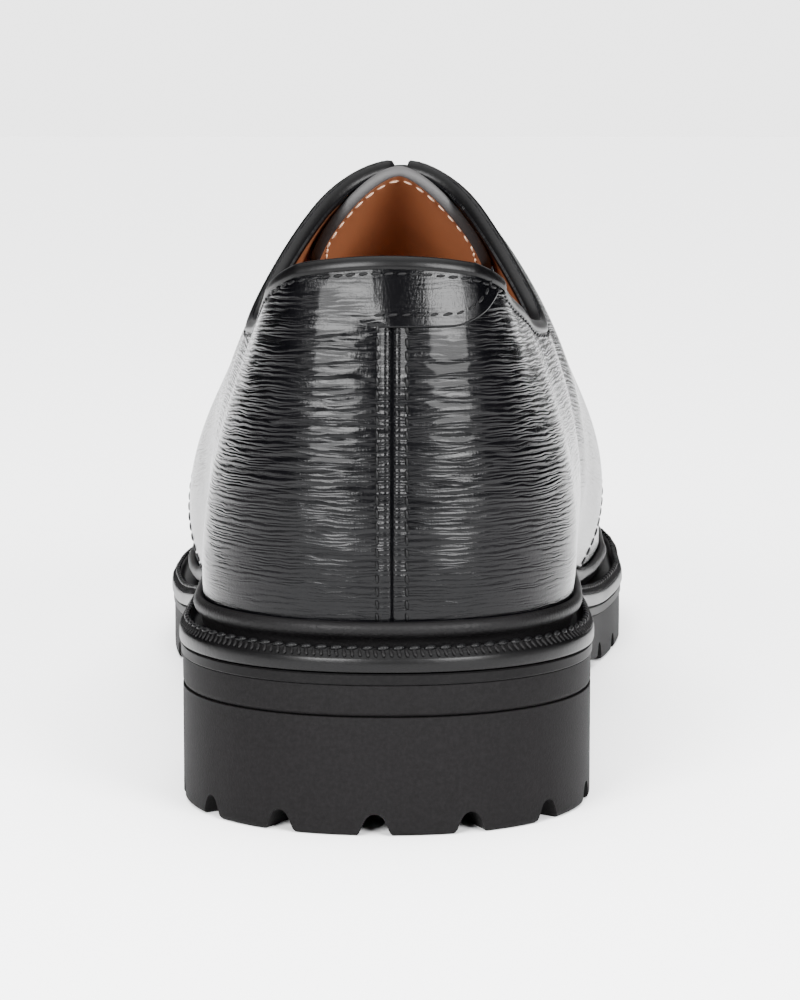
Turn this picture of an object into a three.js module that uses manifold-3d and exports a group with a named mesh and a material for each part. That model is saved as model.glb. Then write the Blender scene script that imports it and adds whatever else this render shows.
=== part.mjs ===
// Derby shoe, left, on a lugged rubber sole with a heel block and a ribbed welt.
// Millimetres. +Y points to the toe, +X to the inner side of the foot, +Z up.
// The origin is the middle of the heel's ground contact.
import * as THREE from "three";
import { mergeVertices } from "three/addons/utils/BufferGeometryUtils.js";
import Module from "manifold-3d";

const wasm = await Module();
wasm.setup();

// Sole, seen from below
const soleLength = 302;
const ballWidth = 106;
const heelWidth = 78;
const toeTurn = 5; // how far the toe's middle lies towards the inner side
const heelRound = 40; // length over which the heel's back is rounded
const heelFullness = 2.15; // power of that curve, 2 is an ellipse
const toeRound = 68;
const toeFullness = 2.05;

// Sole, seen from the side
const heelHeight = 21.6;
const heelLength = 76;
const shankThickness = 5.8; // outsole over the heel block
const treadThickness = 11.2; // outsole under the ball, lugs included
const midsoleThickness = 2.2;
const weltThickness = 3;
const toeSpring = 8.3;
const rubberInset = 0.6; // rubber edge behind the welt's edge
const heelTaper = 1;
const footChamfer = 1;

// Tread
const lugDepth = 4;
const lugBand = 15; // width of the lugs along the edge
const notchPitch = 18;
const notchStart = 0.9; // first notch past the heel's back, as a share of the pitch
const notchFoot = 5.6;
const notchTop = 2;
const crossSpan = 22;
const crossArm = 8;
const crossPitch = 27;
const crossColumns = 32; // between the middle crosses and those beside them
const crossRoom = 2; // least gap between a cross and the band

// Welt, insole
const weltShow = 5.2; // from the welt's edge to the upper
const weltInner = 9.5; // from the welt's edge to its inner edge
const ribHeight = 5.8;
const ribThickness = 1.7;
const insoleRise = 1; // insole above the welt

// Upper
const backHeight = 71.2; // collar above the welt at the back
const instepRise = 90; // facing tops above the welt
const vampWall = 1.8;
const quarterStep = 1.1; // quarters over the vamp
const tailStep = 0.8; // dog tail over the quarters
const throatRound = 9; // end of the throat, behind the quarters' front edge
const facingGapTop = 3.8;
const facingGapFoot = 9;
const facingCorner = 11; // rounding of the facings' front corners
const seamSide = 1.5; // back seam, off the middle line
const tailReach = 19; // dog tail, past the back seam
const tailDrop = 13.2; // dog tail, below the collar
const tailCorner = 9;

// Tongue, laces
const tongueThickness = 2.2;
const tongueShow = 5; // tongue's top edge, behind the facings' tops
const tongueHold = 11; // tongue's root, past the end of the throat
const tongueReach = 27; // half width, measured round the instep
const tongueCorner = 10; // rounding of its top corners
const tongueFall = 2.5; // how far its edges hang away from the quarters
const laceThickness = 2.4;
const laceBars = 5;
const laceBehind = 8; // first bar, past the facings' tops
const laceAhead = 7; // last bar, behind the end of the throat
const eyeletSet = 9; // eyelet from the facing's edge

const seam = 0.3; // clearance between pieces that meet
const quarterWall = vampWall + quarterStep;

// Mesh fineness
const ringStations = 82; // an even number
const wallRows = 11;
const sideSteps = 40;

// Half widths, as shares of the way from the heel's half width to the ball's
const soleSides = [
  { at: 0.0, medial: 0.0, lateral: 0.0 },
  { at: 0.13, medial: 0.0, lateral: 0.0 },
  { at: 0.25, medial: -0.06, lateral: -0.02 },
  { at: 0.36, medial: -0.08, lateral: 0.03 },
  { at: 0.46, medial: 0.11, lateral: 0.33 },
  { at: 0.56, medial: 0.5, lateral: 0.72 },
  { at: 0.64, medial: 0.86, lateral: 0.97 },
  { at: 0.7, medial: 1.0, lateral: 1.0 },
  { at: 0.78, medial: 1.0, lateral: 0.86 },
  { at: 0.88, medial: 0.85, lateral: 0.54 },
  { at: 1.0, medial: 0.6, lateral: 0.2 },
];

// Heights of the sole, as shares: seat of the foot's drop from heel to ball, tread of the heel's
// height, spring of the toe spring
const soleProfile = [
  { at: 0.0, seat: 1.0, tread: 1.0, spring: 0.0 },
  { at: 0.18, seat: 1.0, tread: 1.0, spring: 0.0 },
  { at: 0.3, seat: 0.815, tread: 0.838, spring: 0.0 },
  { at: 0.42, seat: 0.417, tread: 0.495, spring: 0.0 },
  { at: 0.54, seat: 0.086, tread: 0.137, spring: 0.0 },
  { at: 0.6, seat: 0.0, tread: 0.0, spring: 0.0 },
  { at: 0.74, seat: 0.0, tread: 0.0, spring: 0.0 },
  { at: 0.82, seat: 0.0, tread: 0.0, spring: 0.125 },
  { at: 0.92, seat: 0.0, tread: 0.0, spring: 0.53 },
  { at: 1.0, seat: 0.0, tread: 0.0, spring: 1.0 },
];

// Crest of the last: side as a share of the ball width, up as a share of the instep's rise
const crest = [
  { at: 0.149, side: 0.0, up: 1.113 },
  { at: 0.248, side: 0.008, up: 1.046 },
  { at: 0.358, side: 0.016, up: 1.0 },
  { at: 0.447, side: 0.023, up: 0.89 },
  { at: 0.546, side: 0.028, up: 0.757 },
  { at: 0.646, side: 0.033, up: 0.629 },
  { at: 0.745, side: 0.038, up: 0.518 },
  { at: 0.868, side: 0.045, up: 0.392 },
];

// Sections of the last, from the welt up to the crest: bulges as shares of the ball width, rise of
// the section's height, crown of its reach
const sections = [
  { at: 0.017, medial: 0.057, lateral: 0.057, rise: 0.6, crown: 0.7 },
  { at: 0.073, medial: 0.08, lateral: 0.066, rise: 0.47, crown: 0.16 },
  { at: 0.149, medial: 0.12, lateral: 0.07, rise: 0.42, crown: 0.06 },
  { at: 0.235, medial: 0.17, lateral: 0.11, rise: 0.4, crown: 0.3 },
  { at: 0.315, medial: 0.18, lateral: 0.135, rise: 0.38, crown: 0.42 },
  { at: 0.364, medial: 0.225, lateral: 0.15, rise: 0.39, crown: 0.54 },
  { at: 0.464, medial: 0.27, lateral: 0.195, rise: 0.45, crown: 0.5 },
  { at: 0.546, medial: 0.18, lateral: 0.125, rise: 0.5, crown: 0.52 },
  { at: 0.646, medial: 0.066, lateral: 0.047, rise: 0.58, crown: 0.62 },
  { at: 0.745, medial: 0.038, lateral: 0.038, rise: 0.64, crown: 0.62 },
  { at: 0.868, medial: 0.028, lateral: 0.028, rise: 0.7, crown: 0.62 },
  { at: 0.983, medial: 0.028, lateral: 0.028, rise: 0.72, crown: 0.66 },
];
const crestBlend = 14; // how softly the sections gather at the crest's ends

// Collar line, height above the welt as a share of the back's height
const collar = [
  { at: 0.0, up: 1.003 },
  { at: 0.028, up: 0.995 },
  { at: 0.04, up: 0.978 },
  { at: 0.06, up: 0.94 },
  { at: 0.093, up: 0.888 },
  { at: 0.139, up: 0.83 },
  { at: 0.182, up: 0.78 },
  { at: 0.218, up: 0.768 },
  { at: 0.248, up: 0.81 },
  { at: 0.291, up: 0.949 },
  { at: 0.325, up: 1.096 },
  { at: 0.358, up: 1.258 },
  { at: 0.374, up: 1.36 },
];

// Front edge of the quarters, height above the welt as a share of the instep's rise
const quarterFront = [
  { at: 0.576, up: 1.1 },
  { at: 0.573, up: 0.78 },
  { at: 0.556, up: 0.62 },
  { at: 0.53, up: 0.43 },
  { at: 0.503, up: 0.24 },
  { at: 0.487, up: 0.06 },
  { at: 0.481, up: -0.2 },
];

// Places along the instep, as lengths from the heel's back
const facingTop = crest[2].at * soleLength;
const facingFoot = quarterFront[0].at * soleLength;
const throatEnd = facingFoot - throatRound;
const laceFirst = facingTop + laceBehind;
const laceLast = throatEnd - laceAhead;
const tongueTop = facingTop - tongueShow;
const tongueRoot = throatEnd + tongueHold;

// Smooth curve through a table's column. It is level at a peak, and where the column stays the same.
function read(table, column, at) {
  const last = table.length - 1;
  const x = Math.min(Math.max(at, table[0].at), table[last].at);
  let i = 0;
  while (i < last - 1 && x > table[i + 1].at) i++;
  const slope = (k) => {
    const [a, b, c] = [table[Math.max(k - 1, 0)], table[k], table[Math.min(k + 1, last)]];
    const level = a !== b && b !== c && (b[column] - a[column]) * (c[column] - b[column]) <= 0;
    return level ? 0 : (c[column] - a[column]) / (c.at - a.at);
  };
  const [a, b] = [table[i], table[i + 1]];
  const h = b.at - a.at;
  const t = (x - a.at) / h;
  return (
    (2 * t ** 3 - 3 * t ** 2 + 1) * a[column] +
    (t ** 3 - 2 * t ** 2 + t) * h * slope(i) +
    (3 * t ** 2 - 2 * t ** 3) * b[column] +
    (t ** 3 - t ** 2) * h * slope(i + 1)
  );
}

// Heights along the sole
const along = (table, column, y) => read(table, column, y / soleLength);
const springAt = (y) => toeSpring * along(soleProfile, "spring", y);
const treadAt = (y) => heelHeight * along(soleProfile, "tread", y) + springAt(y);
const footDrop = heelHeight + shankThickness - treadThickness;
const outsoleTop = (y) => treadThickness + footDrop * along(soleProfile, "seat", y) + springAt(y);
const midsoleTop = (y) => outsoleTop(y) + midsoleThickness;
const weltTop = (y) => midsoleTop(y) + weltThickness;
const collarAt = (y) => weltTop(y) + backHeight * along(collar, "up", y);

// Outline of the sole: a turn goes from the heel's back round the inner side, the toe and the
// outer side
function roundOff(share, power) {
  const t = Math.min(Math.max(share, 0), 1);
  return (1 - (1 - t) ** power) ** (1 / power);
}

function middleLine(y) {
  const start = 0.72 * soleLength;
  const t = Math.max(y - start, 0) / (soleLength - start);
  return toeTurn * t * t;
}

function halfWidth(column, y) {
  const width = heelWidth / 2 + ((ballWidth - heelWidth) / 2) * along(soleSides, column, y);
  const ends = roundOff(y / heelRound, heelFullness) * roundOff((soleLength - y) / toeRound, toeFullness);
  return width * ends;
}

const lengthAt = (turn) => (soleLength * (1 - Math.cos(2 * Math.PI * turn))) / 2;

function edgePoint(turn) {
  const y = lengthAt(turn);
  const medial = turn % 1 <= 0.5;
  const half = halfWidth(medial ? "medial" : "lateral", y);
  return new THREE.Vector2(middleLine(y) + (medial ? half : -half), y);
}

function edgeNormal(turn) {
  const step = 0.002;
  const ahead = edgePoint((turn + step) % 1);
  const tangent = ahead.sub(edgePoint((turn - step + 1) % 1)).normalize();
  return new THREE.Vector2(tangent.y, -tangent.x);
}

const insetPoint = (turn, inset) => edgePoint(turn).addScaledVector(edgeNormal(turn), -inset);

// Solids
function solidOf(geometry) {
  geometry.deleteAttribute("normal");
  geometry.deleteAttribute("uv");
  const merged = mergeVertices(geometry, 1e-4);
  return new wasm.Manifold(
    new wasm.Mesh({
      numProp: 3,
      vertProperties: merged.attributes.position.array,
      triVerts: new Uint32Array(merged.index.array),
    }),
  );
}

function indexed(points, faces) {
  const geometry = new THREE.BufferGeometry().setFromPoints(points);
  geometry.setIndex(faces);
  return solidOf(geometry);
}

// Prism of a flat outline. Its plane and direction are the first two axes and the third.
const axes = { x: new THREE.Vector3(1, 0, 0), y: new THREE.Vector3(0, 1, 0), z: new THREE.Vector3(0, 0, 1) };

function prism(outline, [across, up, out], from, to) {
  const shape = new THREE.Shape(outline.map(([u, v]) => new THREE.Vector2(u, v)));
  const geometry = new THREE.ExtrudeGeometry(shape, { depth: to - from, bevelEnabled: false });
  geometry.translate(0, 0, from);
  geometry.applyMatrix4(new THREE.Matrix4().makeBasis(axes[across], axes[up], axes[out]));
  return solidOf(geometry);
}

const spread = (count) => Array.from({ length: count + 1 }, (_, k) => k / count);

// Rings stacked upwards, closed by strips from side to side
function stack(rings) {
  const n = rings[0].length;
  const faces = [];
  for (let r = 0; r + 1 < rings.length; r++)
    for (let i = 0; i < n; i++) {
      const [a, b] = [r * n + i, r * n + ((i + 1) % n)];
      faces.push(a, b, b + n, a, b + n, a + n);
    }
  const top = (rings.length - 1) * n;
  for (let i = 0; i < n / 2; i++) {
    const [a, b, c, d] = [i, i + 1, n - i - 1, (n - i) % n];
    if (a !== d) faces.push(a, d, c, top + a, top + c, top + d);
    if (b !== c) faces.push(a, c, b, top + a, top + b, top + c);
  }
  return indexed(rings.flat(), faces);
}

// Layer of the sole between two heights, with an inset at each level
function layer(levels) {
  return stack(
    levels.map(({ inset, height }) =>
      Array.from({ length: ringStations }, (_, i) => {
        const p = insetPoint(i / ringStations, inset);
        return new THREE.Vector3(p.x, p.y, height(p.y));
      }),
    ),
  );
}

const farOut = 2 * ballWidth;
const lengthways = (from, to) =>
  prism([[from, -farOut], [to, -farOut], [to, farOut], [from, farOut]], ["y", "z", "x"], -farOut, farOut);

// Tread: a recess with crosses left standing in it, and notches through the band round it
function crossOutline(x, y) {
  const [a, s] = [crossArm / 2, crossSpan / 2];
  const corner = [[s, -a], [s, a], [a, a]];
  const turnLeft = ([u, v]) => [-v, u];
  const outline = [];
  let arm = corner;
  for (let k = 0; k < 4; k++) {
    outline.push(...arm);
    arm = arm.map(turnLeft);
  }
  return outline.map(([u, v]) => [x + u, y + v]);
}

function recess(from, to, crosses) {
  let cut = layer([
    { inset: lugBand, height: () => -lugDepth },
    { inset: lugBand, height: (y) => treadAt(y) + lugDepth },
  ]).intersect(lengthways(from, to));
  for (const [x, y] of crosses)
    cut = cut.subtract(prism(crossOutline(x, y), ["x", "y", "z"], -farOut, farOut));
  return cut;
}

function notch(turn) {
  const [foot, top] = [notchFoot / 2, notchTop / 2];
  const outline = [[-foot - 1, -2], [foot + 1, -2], [foot, 0], [top, lugDepth], [-top, lugDepth], [-foot, 0]];
  const shape = new THREE.Shape(outline.map(([u, v]) => new THREE.Vector2(u, v)));
  const reach = lugBand + 2;
  const geometry = new THREE.ExtrudeGeometry(shape, { depth: reach, bevelEnabled: false });
  const out = edgeNormal(turn);
  const inward = new THREE.Vector3(-out.x, -out.y, 0);
  const sideways = new THREE.Vector3().crossVectors(axes.z, inward);
  const base = insetPoint(turn, -1);
  geometry.applyMatrix4(new THREE.Matrix4().makeBasis(sideways, axes.z, inward));
  geometry.translate(base.x, base.y, 0);
  const place = geometry.attributes.position;
  for (let i = 0; i < place.count; i++) place.setZ(i, place.getZ(i) + treadAt(place.getY(i)));
  return solidOf(geometry);
}

// Turns of the outline at even distances along it
function notchTurns(from, to) {
  const fine = 2000;
  const walked = [0];
  for (let k = 1; k <= fine; k++)
    walked.push(walked[k - 1] + edgePoint((k % fine) / fine).distanceTo(edgePoint((k - 1) / fine)));
  const count = Math.round(walked[fine] / notchPitch);
  const pitch = walked[fine] / count;
  const turns = Array.from({ length: count }, (_, k) => {
    const goal = (k + notchStart) * pitch;
    return walked.findIndex((distance) => distance >= goal) / fine;
  });
  return turns.filter((turn) => edgePoint(turn).y > from && edgePoint(turn).y < to);
}

function crossPlaces(from, to) {
  const places = [];
  const rows = Math.max(Math.floor((to - from) / crossPitch), 1);
  for (let row = 0; row < rows; row++) {
    const y = (from + to) / 2 + (row - (rows - 1) / 2) * crossPitch;
    for (const column of row % 2 ? [-0.5, 0.5] : [-1, 0, 1]) {
      const x = middleLine(y) + column * crossColumns;
      const side = column > 0 ? "medial" : "lateral";
      const room = halfWidth(side, y) - lugBand - crossRoom - crossSpan / 2;
      if (column === 0 || Math.abs(x - middleLine(y)) < room) places.push([x, y]);
    }
  }
  return places;
}

// Outsole and heel block
const treadStart = 0.47 * soleLength;

function outsole() {
  let body = layer([
    { inset: rubberInset + footChamfer, height: (y) => treadAt(y) + seam / 2 },
    { inset: rubberInset, height: (y) => treadAt(y) + footChamfer + seam / 2 },
    { inset: rubberInset, height: (y) => outsoleTop(y) - seam / 2 },
  ]);
  const padEnd = soleLength - lugBand;
  body = body.subtract(recess(treadStart, soleLength, crossPlaces(treadStart, padEnd)));
  for (const turn of notchTurns(treadStart + notchFoot, soleLength + 1)) body = body.subtract(notch(turn));
  return body;
}

function heelBlock() {
  let body = layer([
    { inset: rubberInset + heelTaper + footChamfer, height: () => 0 },
    { inset: rubberInset + heelTaper, height: () => footChamfer },
    { inset: rubberInset, height: (y) => treadAt(y) - springAt(y) - seam / 2 },
  ]).intersect(lengthways(-farOut, heelLength));
  const pad = layer([
    { inset: lugBand, height: () => -lugDepth },
    { inset: lugBand, height: () => lugDepth },
  ]).intersect(lengthways(-farOut, heelLength - lugBand / 2));
  const cross = prism(crossOutline(0, heelLength / 2), ["x", "y", "z"], -farOut, farOut);
  body = body.subtract(pad.subtract(cross));
  for (const turn of notchTurns(-1, heelLength - notchFoot)) body = body.subtract(groundNotch(turn));
  return body;
}

// The heel's notches stand on the ground, not on the outsole's own tread
function groundNotch(turn) {
  const y = edgePoint(turn).y;
  return notch(turn).translate([0, 0, -treadAt(y)]);
}

// The last: a section runs from the welt (rise 0) up to the crest (rise 1)
function crestPoint(at) {
  const height = weltTop(at) + instepRise * along(crest, "up", at);
  return new THREE.Vector3(ballWidth * along(crest, "side", at), at, height);
}

function crestAt(y) {
  const first = crest[0].at * soleLength;
  const last = crest[crest.length - 1].at * soleLength;
  const soft = (t) => crestBlend * Math.log1p(Math.exp(t / crestBlend));
  return first + soft(y - first) - soft(y - last);
}

function lastPoint(turn, rise) {
  const y = lengthAt(turn);
  const at = crestAt(y);
  const top = crestPoint(at);
  const slope = (crestPoint(at + 1).z - crestPoint(at - 1).z) / 2;
  const foot = insetPoint(turn, weltShow);
  const start = new THREE.Vector3(foot.x, foot.y, weltTop(foot.y));
  const reach = new THREE.Vector3(foot.x - top.x, foot.y - top.y, 0);
  const height = top.z - start.z;
  const out = edgeNormal(turn);
  const inner = 0.5 + 0.5 * Math.min(Math.max(out.x / 0.6, -1), 1);
  const bulge = ballWidth * (inner * along(sections, "medial", y) + (1 - inner) * along(sections, "lateral", y));
  const flank = start.clone().add(new THREE.Vector3(out.x * bulge, out.y * bulge, height * along(sections, "rise", y)));
  const shoulder = reach.clone().multiplyScalar(along(sections, "crown", y));
  shoulder.z = slope * shoulder.y;
  shoulder.add(top);
  return new THREE.CubicBezierCurve3(start, flank, shoulder, top).getPoint(rise);
}

function lastNormal(turn, rise) {
  if (rise > 0.999) {
    const at = crestAt(lengthAt(turn));
    const slope = crestPoint(at + 1).z - crestPoint(at - 1).z;
    return new THREE.Vector3(0, -slope, 2).normalize();
  }
  const step = 0.002;
  const round = lastPoint((turn + step) % 1, rise).sub(lastPoint((turn - step + 1) % 1, rise));
  const low = Math.max(rise - step, 0);
  const up = lastPoint(turn, rise + step).sub(lastPoint(turn, low));
  return round.cross(up).normalize();
}

const onLast = (turn, rise, offset) => lastPoint(turn, rise).addScaledVector(lastNormal(turn, rise), offset);

// Places and directions of the last's net, from the welt to the crest
const net = spread(wallRows).map((rise) =>
  Array.from({ length: ringStations }, (_, i) => ({
    point: lastPoint(i / ringStations, rise),
    out: lastNormal(i / ringStations, rise),
  })),
);

// The last as a solid, its surface moved out by an offset, standing well below the welt
function lastSolid(offset) {
  const n = ringStations;
  const moved = ({ point, out }) => point.clone().addScaledVector(out, offset);
  const points = net[0].map((knot) => moved(knot).setZ(knot.point.z - heelHeight));
  for (const row of net.slice(0, wallRows)) points.push(...row.map(moved));
  const crown = points.length;
  for (let i = 0; i <= n / 2; i++) points.push(moved(net[wallRows][i]));
  const at = (row, i) => (row > wallRows ? crown + Math.min(i % n, n - (i % n)) : row * n + (i % n));
  const faces = [];
  for (let row = 0; row <= wallRows; row++)
    for (let i = 0; i < n; i++) {
      const [a, b, c, d] = [at(row, i), at(row, i + 1), at(row + 1, i + 1), at(row + 1, i)];
      faces.push(a, b, c, a, c, d);
    }
  for (let i = 0; i < n / 2; i++) {
    const [a, b, c, d] = [i, i + 1, n - i - 1, (n - i) % n];
    if (a !== d) faces.push(a, d, c);
    if (b !== c) faces.push(a, c, b);
  }
  return indexed(points, faces);
}

// Everything behind the quarters' front edge
function quarterZone(margin) {
  const front = spread(16).map((t) => {
    const k = t * (quarterFront.length - 1);
    const i = Math.min(Math.floor(k), quarterFront.length - 2);
    const mix = (column) => THREE.MathUtils.lerp(quarterFront[i][column], quarterFront[i + 1][column], k - i);
    const y = mix("at") * soleLength;
    return [y + margin, weltTop(y) + instepRise * mix("up")];
  });
  front.reverse();
  const outline = [[-farOut, -farOut], [front[0][0], -farOut], ...front];
  outline.push([front.at(-1)[0], farOut], [-farOut, farOut]);
  return prism(outline, ["y", "z", "x"], -farOut, farOut);
}

// The gap between the facings in plan. It widens to the front, and flares where their corners round.
function facingGap(end, flared) {
  const start = tongueTop - facingCorner;
  const half = (y) => {
    const t = Math.min(Math.max((y - laceFirst) / (throatEnd - laceFirst), 0), 1);
    const plain = (facingGapTop + (facingGapFoot - facingGapTop) * t) / 2;
    const into = Math.max(y - (facingFoot - facingCorner), 0) / facingCorner;
    return plain + (flared ? facingCorner * (1 - Math.sqrt(Math.max(1 - Math.min(into, 1) ** 2, 0))) : 0);
  };
  const ys = spread(24).map((t) => start + (end - start) * t);
  const mid = (y) => crestPoint(crestAt(y)).x;
  const outline = ys.map((y) => [mid(y) + half(y), y]);
  outline.push(...ys.reverse().map((y) => [mid(y) - half(y), y]));
  return prism(outline, ["x", "y", "z"], treadThickness * 2, farOut);
}

// Vamp and quarters together, with the quarters one step out
function footform(offset, quarters) {
  return lastSolid(offset - quarterStep).add(lastSolid(offset).intersect(quarters));
}

// The dog tail: the outer quarter's end, lapped over the back seam
function dogTail() {
  const base = collarAt(0) - tailDrop;
  const right = seamSide + tailReach;
  const corner = spread(6).map((t) => {
    const a = (t * Math.PI) / 2;
    return [right - tailCorner * (1 - Math.sin(a)), base + tailCorner * (1 - Math.cos(a))];
  });
  const outline = [[seamSide, base], ...corner, [right, farOut], [seamSide, farOut]];
  const zone = prism(outline.map(([x, z]) => [z, x]).reverse(), ["z", "x", "y"], -heelRound, heelRound);
  return lastSolid(tailStep).intersect(zone);
}

function sideCut(height, from, to, reach) {
  const ys = spread(sideSteps).map((t) => from + (to - from) * t);
  const edge = ys.map((y) => [y, height(y)]);
  const outline = reach > 0 ? [...edge, [to, reach], [from, reach]] : [[from, reach], [to, reach], ...edge.reverse()];
  return prism(outline, ["y", "z", "x"], -farOut, farOut);
}

function upper() {
  const below = sideCut((y) => weltTop(y) + seam, -weltShow, soleLength + weltShow, -farOut);
  const collarEnd = collar.at(-1).at * soleLength;
  const above = sideCut(collarAt, -weltShow, collarEnd, farOut);
  const gapEnd = facingFoot + facingCorner;
  return footform(0, quarterZone(0).subtract(facingGap(gapEnd, true)))
    .add(dogTail())
    .subtract(lastSolid(-quarterWall))
    .subtract(above)
    .subtract(facingGap(throatEnd, false))
    .subtract(below);
}

// Place on the last at a height above the welt's top
function wallPlace(turn, height) {
  const goal = weltTop(lengthAt(turn)) + height;
  let [low, high] = [0, 0.5];
  for (let k = 0; k < 20; k++) {
    const rise = (low + high) / 2;
    if (lastPoint(turn, rise).z < goal) low = rise;
    else high = rise;
  }
  return low;
}

// The rib stands against the upper and follows its step at the quarters' front edge
function rib() {
  const root = -weltThickness / 2;
  const outer = seam + ribThickness;
  const profile = [
    [outer, root],
    [outer, ribHeight * 0.85],
    [seam + ribThickness / 2, ribHeight],
    [seam, ribHeight * 0.95],
    [seam, root],
  ];
  const widestStep = (Math.PI * soleLength) / ringStations;
  const front = quarterFront.at(-2).at * soleLength + widestStep;
  const points = profile.flatMap(([offset, height]) =>
    Array.from({ length: ringStations }, (_, i) => {
      const turn = i / ringStations;
      const step = lengthAt(turn) > front ? quarterStep : 0;
      const rise = wallPlace(turn, Math.max(height, 0));
      const out = lastNormal(turn, rise);
      const level = out.clone().setZ(0);
      const point = lastPoint(turn, rise).addScaledVector(level, (offset - step) / level.lengthSq());
      return point.setZ(weltTop(point.y) + height);
    }),
  );
  const faces = [];
  const n = ringStations;
  for (let r = 0; r < profile.length; r++)
    for (let i = 0; i < n; i++) {
      const next = (r + 1) % profile.length;
      const [a, b] = [r * n + i, r * n + ((i + 1) % n)];
      const [c, d] = [next * n + ((i + 1) % n), next * n + i];
      faces.push(a, b, c, a, c, d);
    }
  return indexed(points, faces);
}

function welt() {
  const flange = layer([
    { inset: 0, height: (y) => midsoleTop(y) + seam / 2 },
    { inset: 0, height: (y) => weltTop(y) },
  ]);
  const inside = layer([
    { inset: weltInner, height: () => -farOut },
    { inset: weltInner, height: () => farOut },
  ]);
  return flange.subtract(inside).add(rib());
}

const midsole = () =>
  layer([
    { inset: rubberInset / 2, height: (y) => outsoleTop(y) + seam / 2 },
    { inset: rubberInset / 2, height: (y) => midsoleTop(y) - seam / 2 },
  ]);

const insole = () =>
  layer([
    { inset: weltInner + seam, height: (y) => midsoleTop(y) + seam / 2 },
    { inset: weltInner + seam, height: (y) => weltTop(y) + insoleRise },
  ]);

// Place on the instep: its length along the shoe and the distance round from the crest
const turnAt = (y) => Math.acos(1 - (2 * y) / soleLength) / (2 * Math.PI);

function instepPlace(y, across) {
  const turn = across > 0 ? turnAt(y) : 1 - turnAt(y);
  let rise = 1;
  let walked = 0;
  let before = lastPoint(turn, 1);
  while (walked < Math.abs(across) && rise > 0.02) {
    rise -= 0.005;
    const here = lastPoint(turn, rise);
    walked += here.distanceTo(before);
    before = here;
  }
  return [turn, rise];
}

function tongue() {
  const [columns, rows] = [12, 8];
  const faces = [];
  const points = [];
  for (const depth of [0, tongueThickness])
    for (let j = 0; j <= rows; j++)
      for (let i = 0; i <= columns; i++) {
        const side = (2 * i) / columns - 1;
        const forward = j / rows;
        const rounding = tongueCorner * Math.abs(side) ** 5 * (1 - forward) ** 2;
        const y = tongueTop + rounding + (tongueRoot - tongueTop) * forward;
        const [turn, rise] = instepPlace(y, side * tongueReach);
        const fall = tongueFall * side * side * (1 - forward);
        points.push(onLast(turn, rise, -quarterWall - seam - fall - depth));
      }
  const wide = columns + 1;
  const under = wide * (rows + 1);
  for (let j = 0; j < rows; j++)
    for (let i = 0; i < columns; i++) {
      const a = j * wide + i;
      const [b, c, d] = [a + 1, a + wide + 1, a + wide];
      faces.push(a, b, c, a, c, d, under + a, under + c, under + b, under + a, under + d, under + c);
    }
  const rim = (a, b) => faces.push(b, a, under + a, b, under + a, under + b);
  for (let i = 0; i < columns; i++) {
    rim(i, i + 1);
    rim(rows * wide + i + 1, rows * wide + i);
  }
  for (let j = 0; j < rows; j++) {
    rim((j + 1) * wide, j * wide);
    rim(j * wide + columns, (j + 1) * wide + columns);
  }
  return indexed(points, faces);
}

// A lace bar lies over both facings, from eyelet to eyelet
function laceBar(k) {
  const y = laceFirst + ((laceLast - laceFirst) * k) / (laceBars - 1);
  const reach = facingGapFoot / 2 + eyeletSet;
  const lift = seam + laceThickness / 2;
  const route = spread(6).map((t) => onLast(...instepPlace(y, (2 * t - 1) * reach), lift));
  const section = new THREE.Shape().absarc(0, 0, laceThickness / 2, 0, 2 * Math.PI);
  return solidOf(
    new THREE.ExtrudeGeometry(section, {
      steps: 8,
      curveSegments: 3,
      extrudePath: new THREE.CatmullRomCurve3(route),
    }),
  );
}

// Assembly
const shoe = new THREE.Group();
shoe.position.y = -heelLength / 2;

function add(name, solid, color, roughness) {
  const mesh = solid.getMesh();
  const geometry = new THREE.BufferGeometry();
  geometry.setAttribute("position", new THREE.BufferAttribute(mesh.vertProperties, 3));
  geometry.setIndex(new THREE.BufferAttribute(mesh.triVerts, 1));
  geometry.computeVertexNormals();
  const piece = new THREE.Mesh(geometry, new THREE.MeshStandardMaterial({ color, roughness, metalness: 0 }));
  piece.name = name;
  shoe.add(piece);
}

const rubber = 0x2b292b;
const blackLeather = 0x141416;
const tan = 0xa8663c;

add("heel_block", heelBlock(), rubber, 0.75);
add("outsole", outsole(), rubber, 0.75);
add("midsole", midsole(), 0x1a191a, 0.6);
add("welt", welt(), blackLeather, 0.4);
add("insole", insole(), tan, 0.6);
add("upper", upper(), blackLeather, 0.35);
add("tongue", tongue(), blackLeather, 0.45);
for (let k = 0; k < laceBars; k++) add(`lace_bar_${k + 1}`, laceBar(k), blackLeather, 0.5);

export default shoe;
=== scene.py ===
import math

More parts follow.
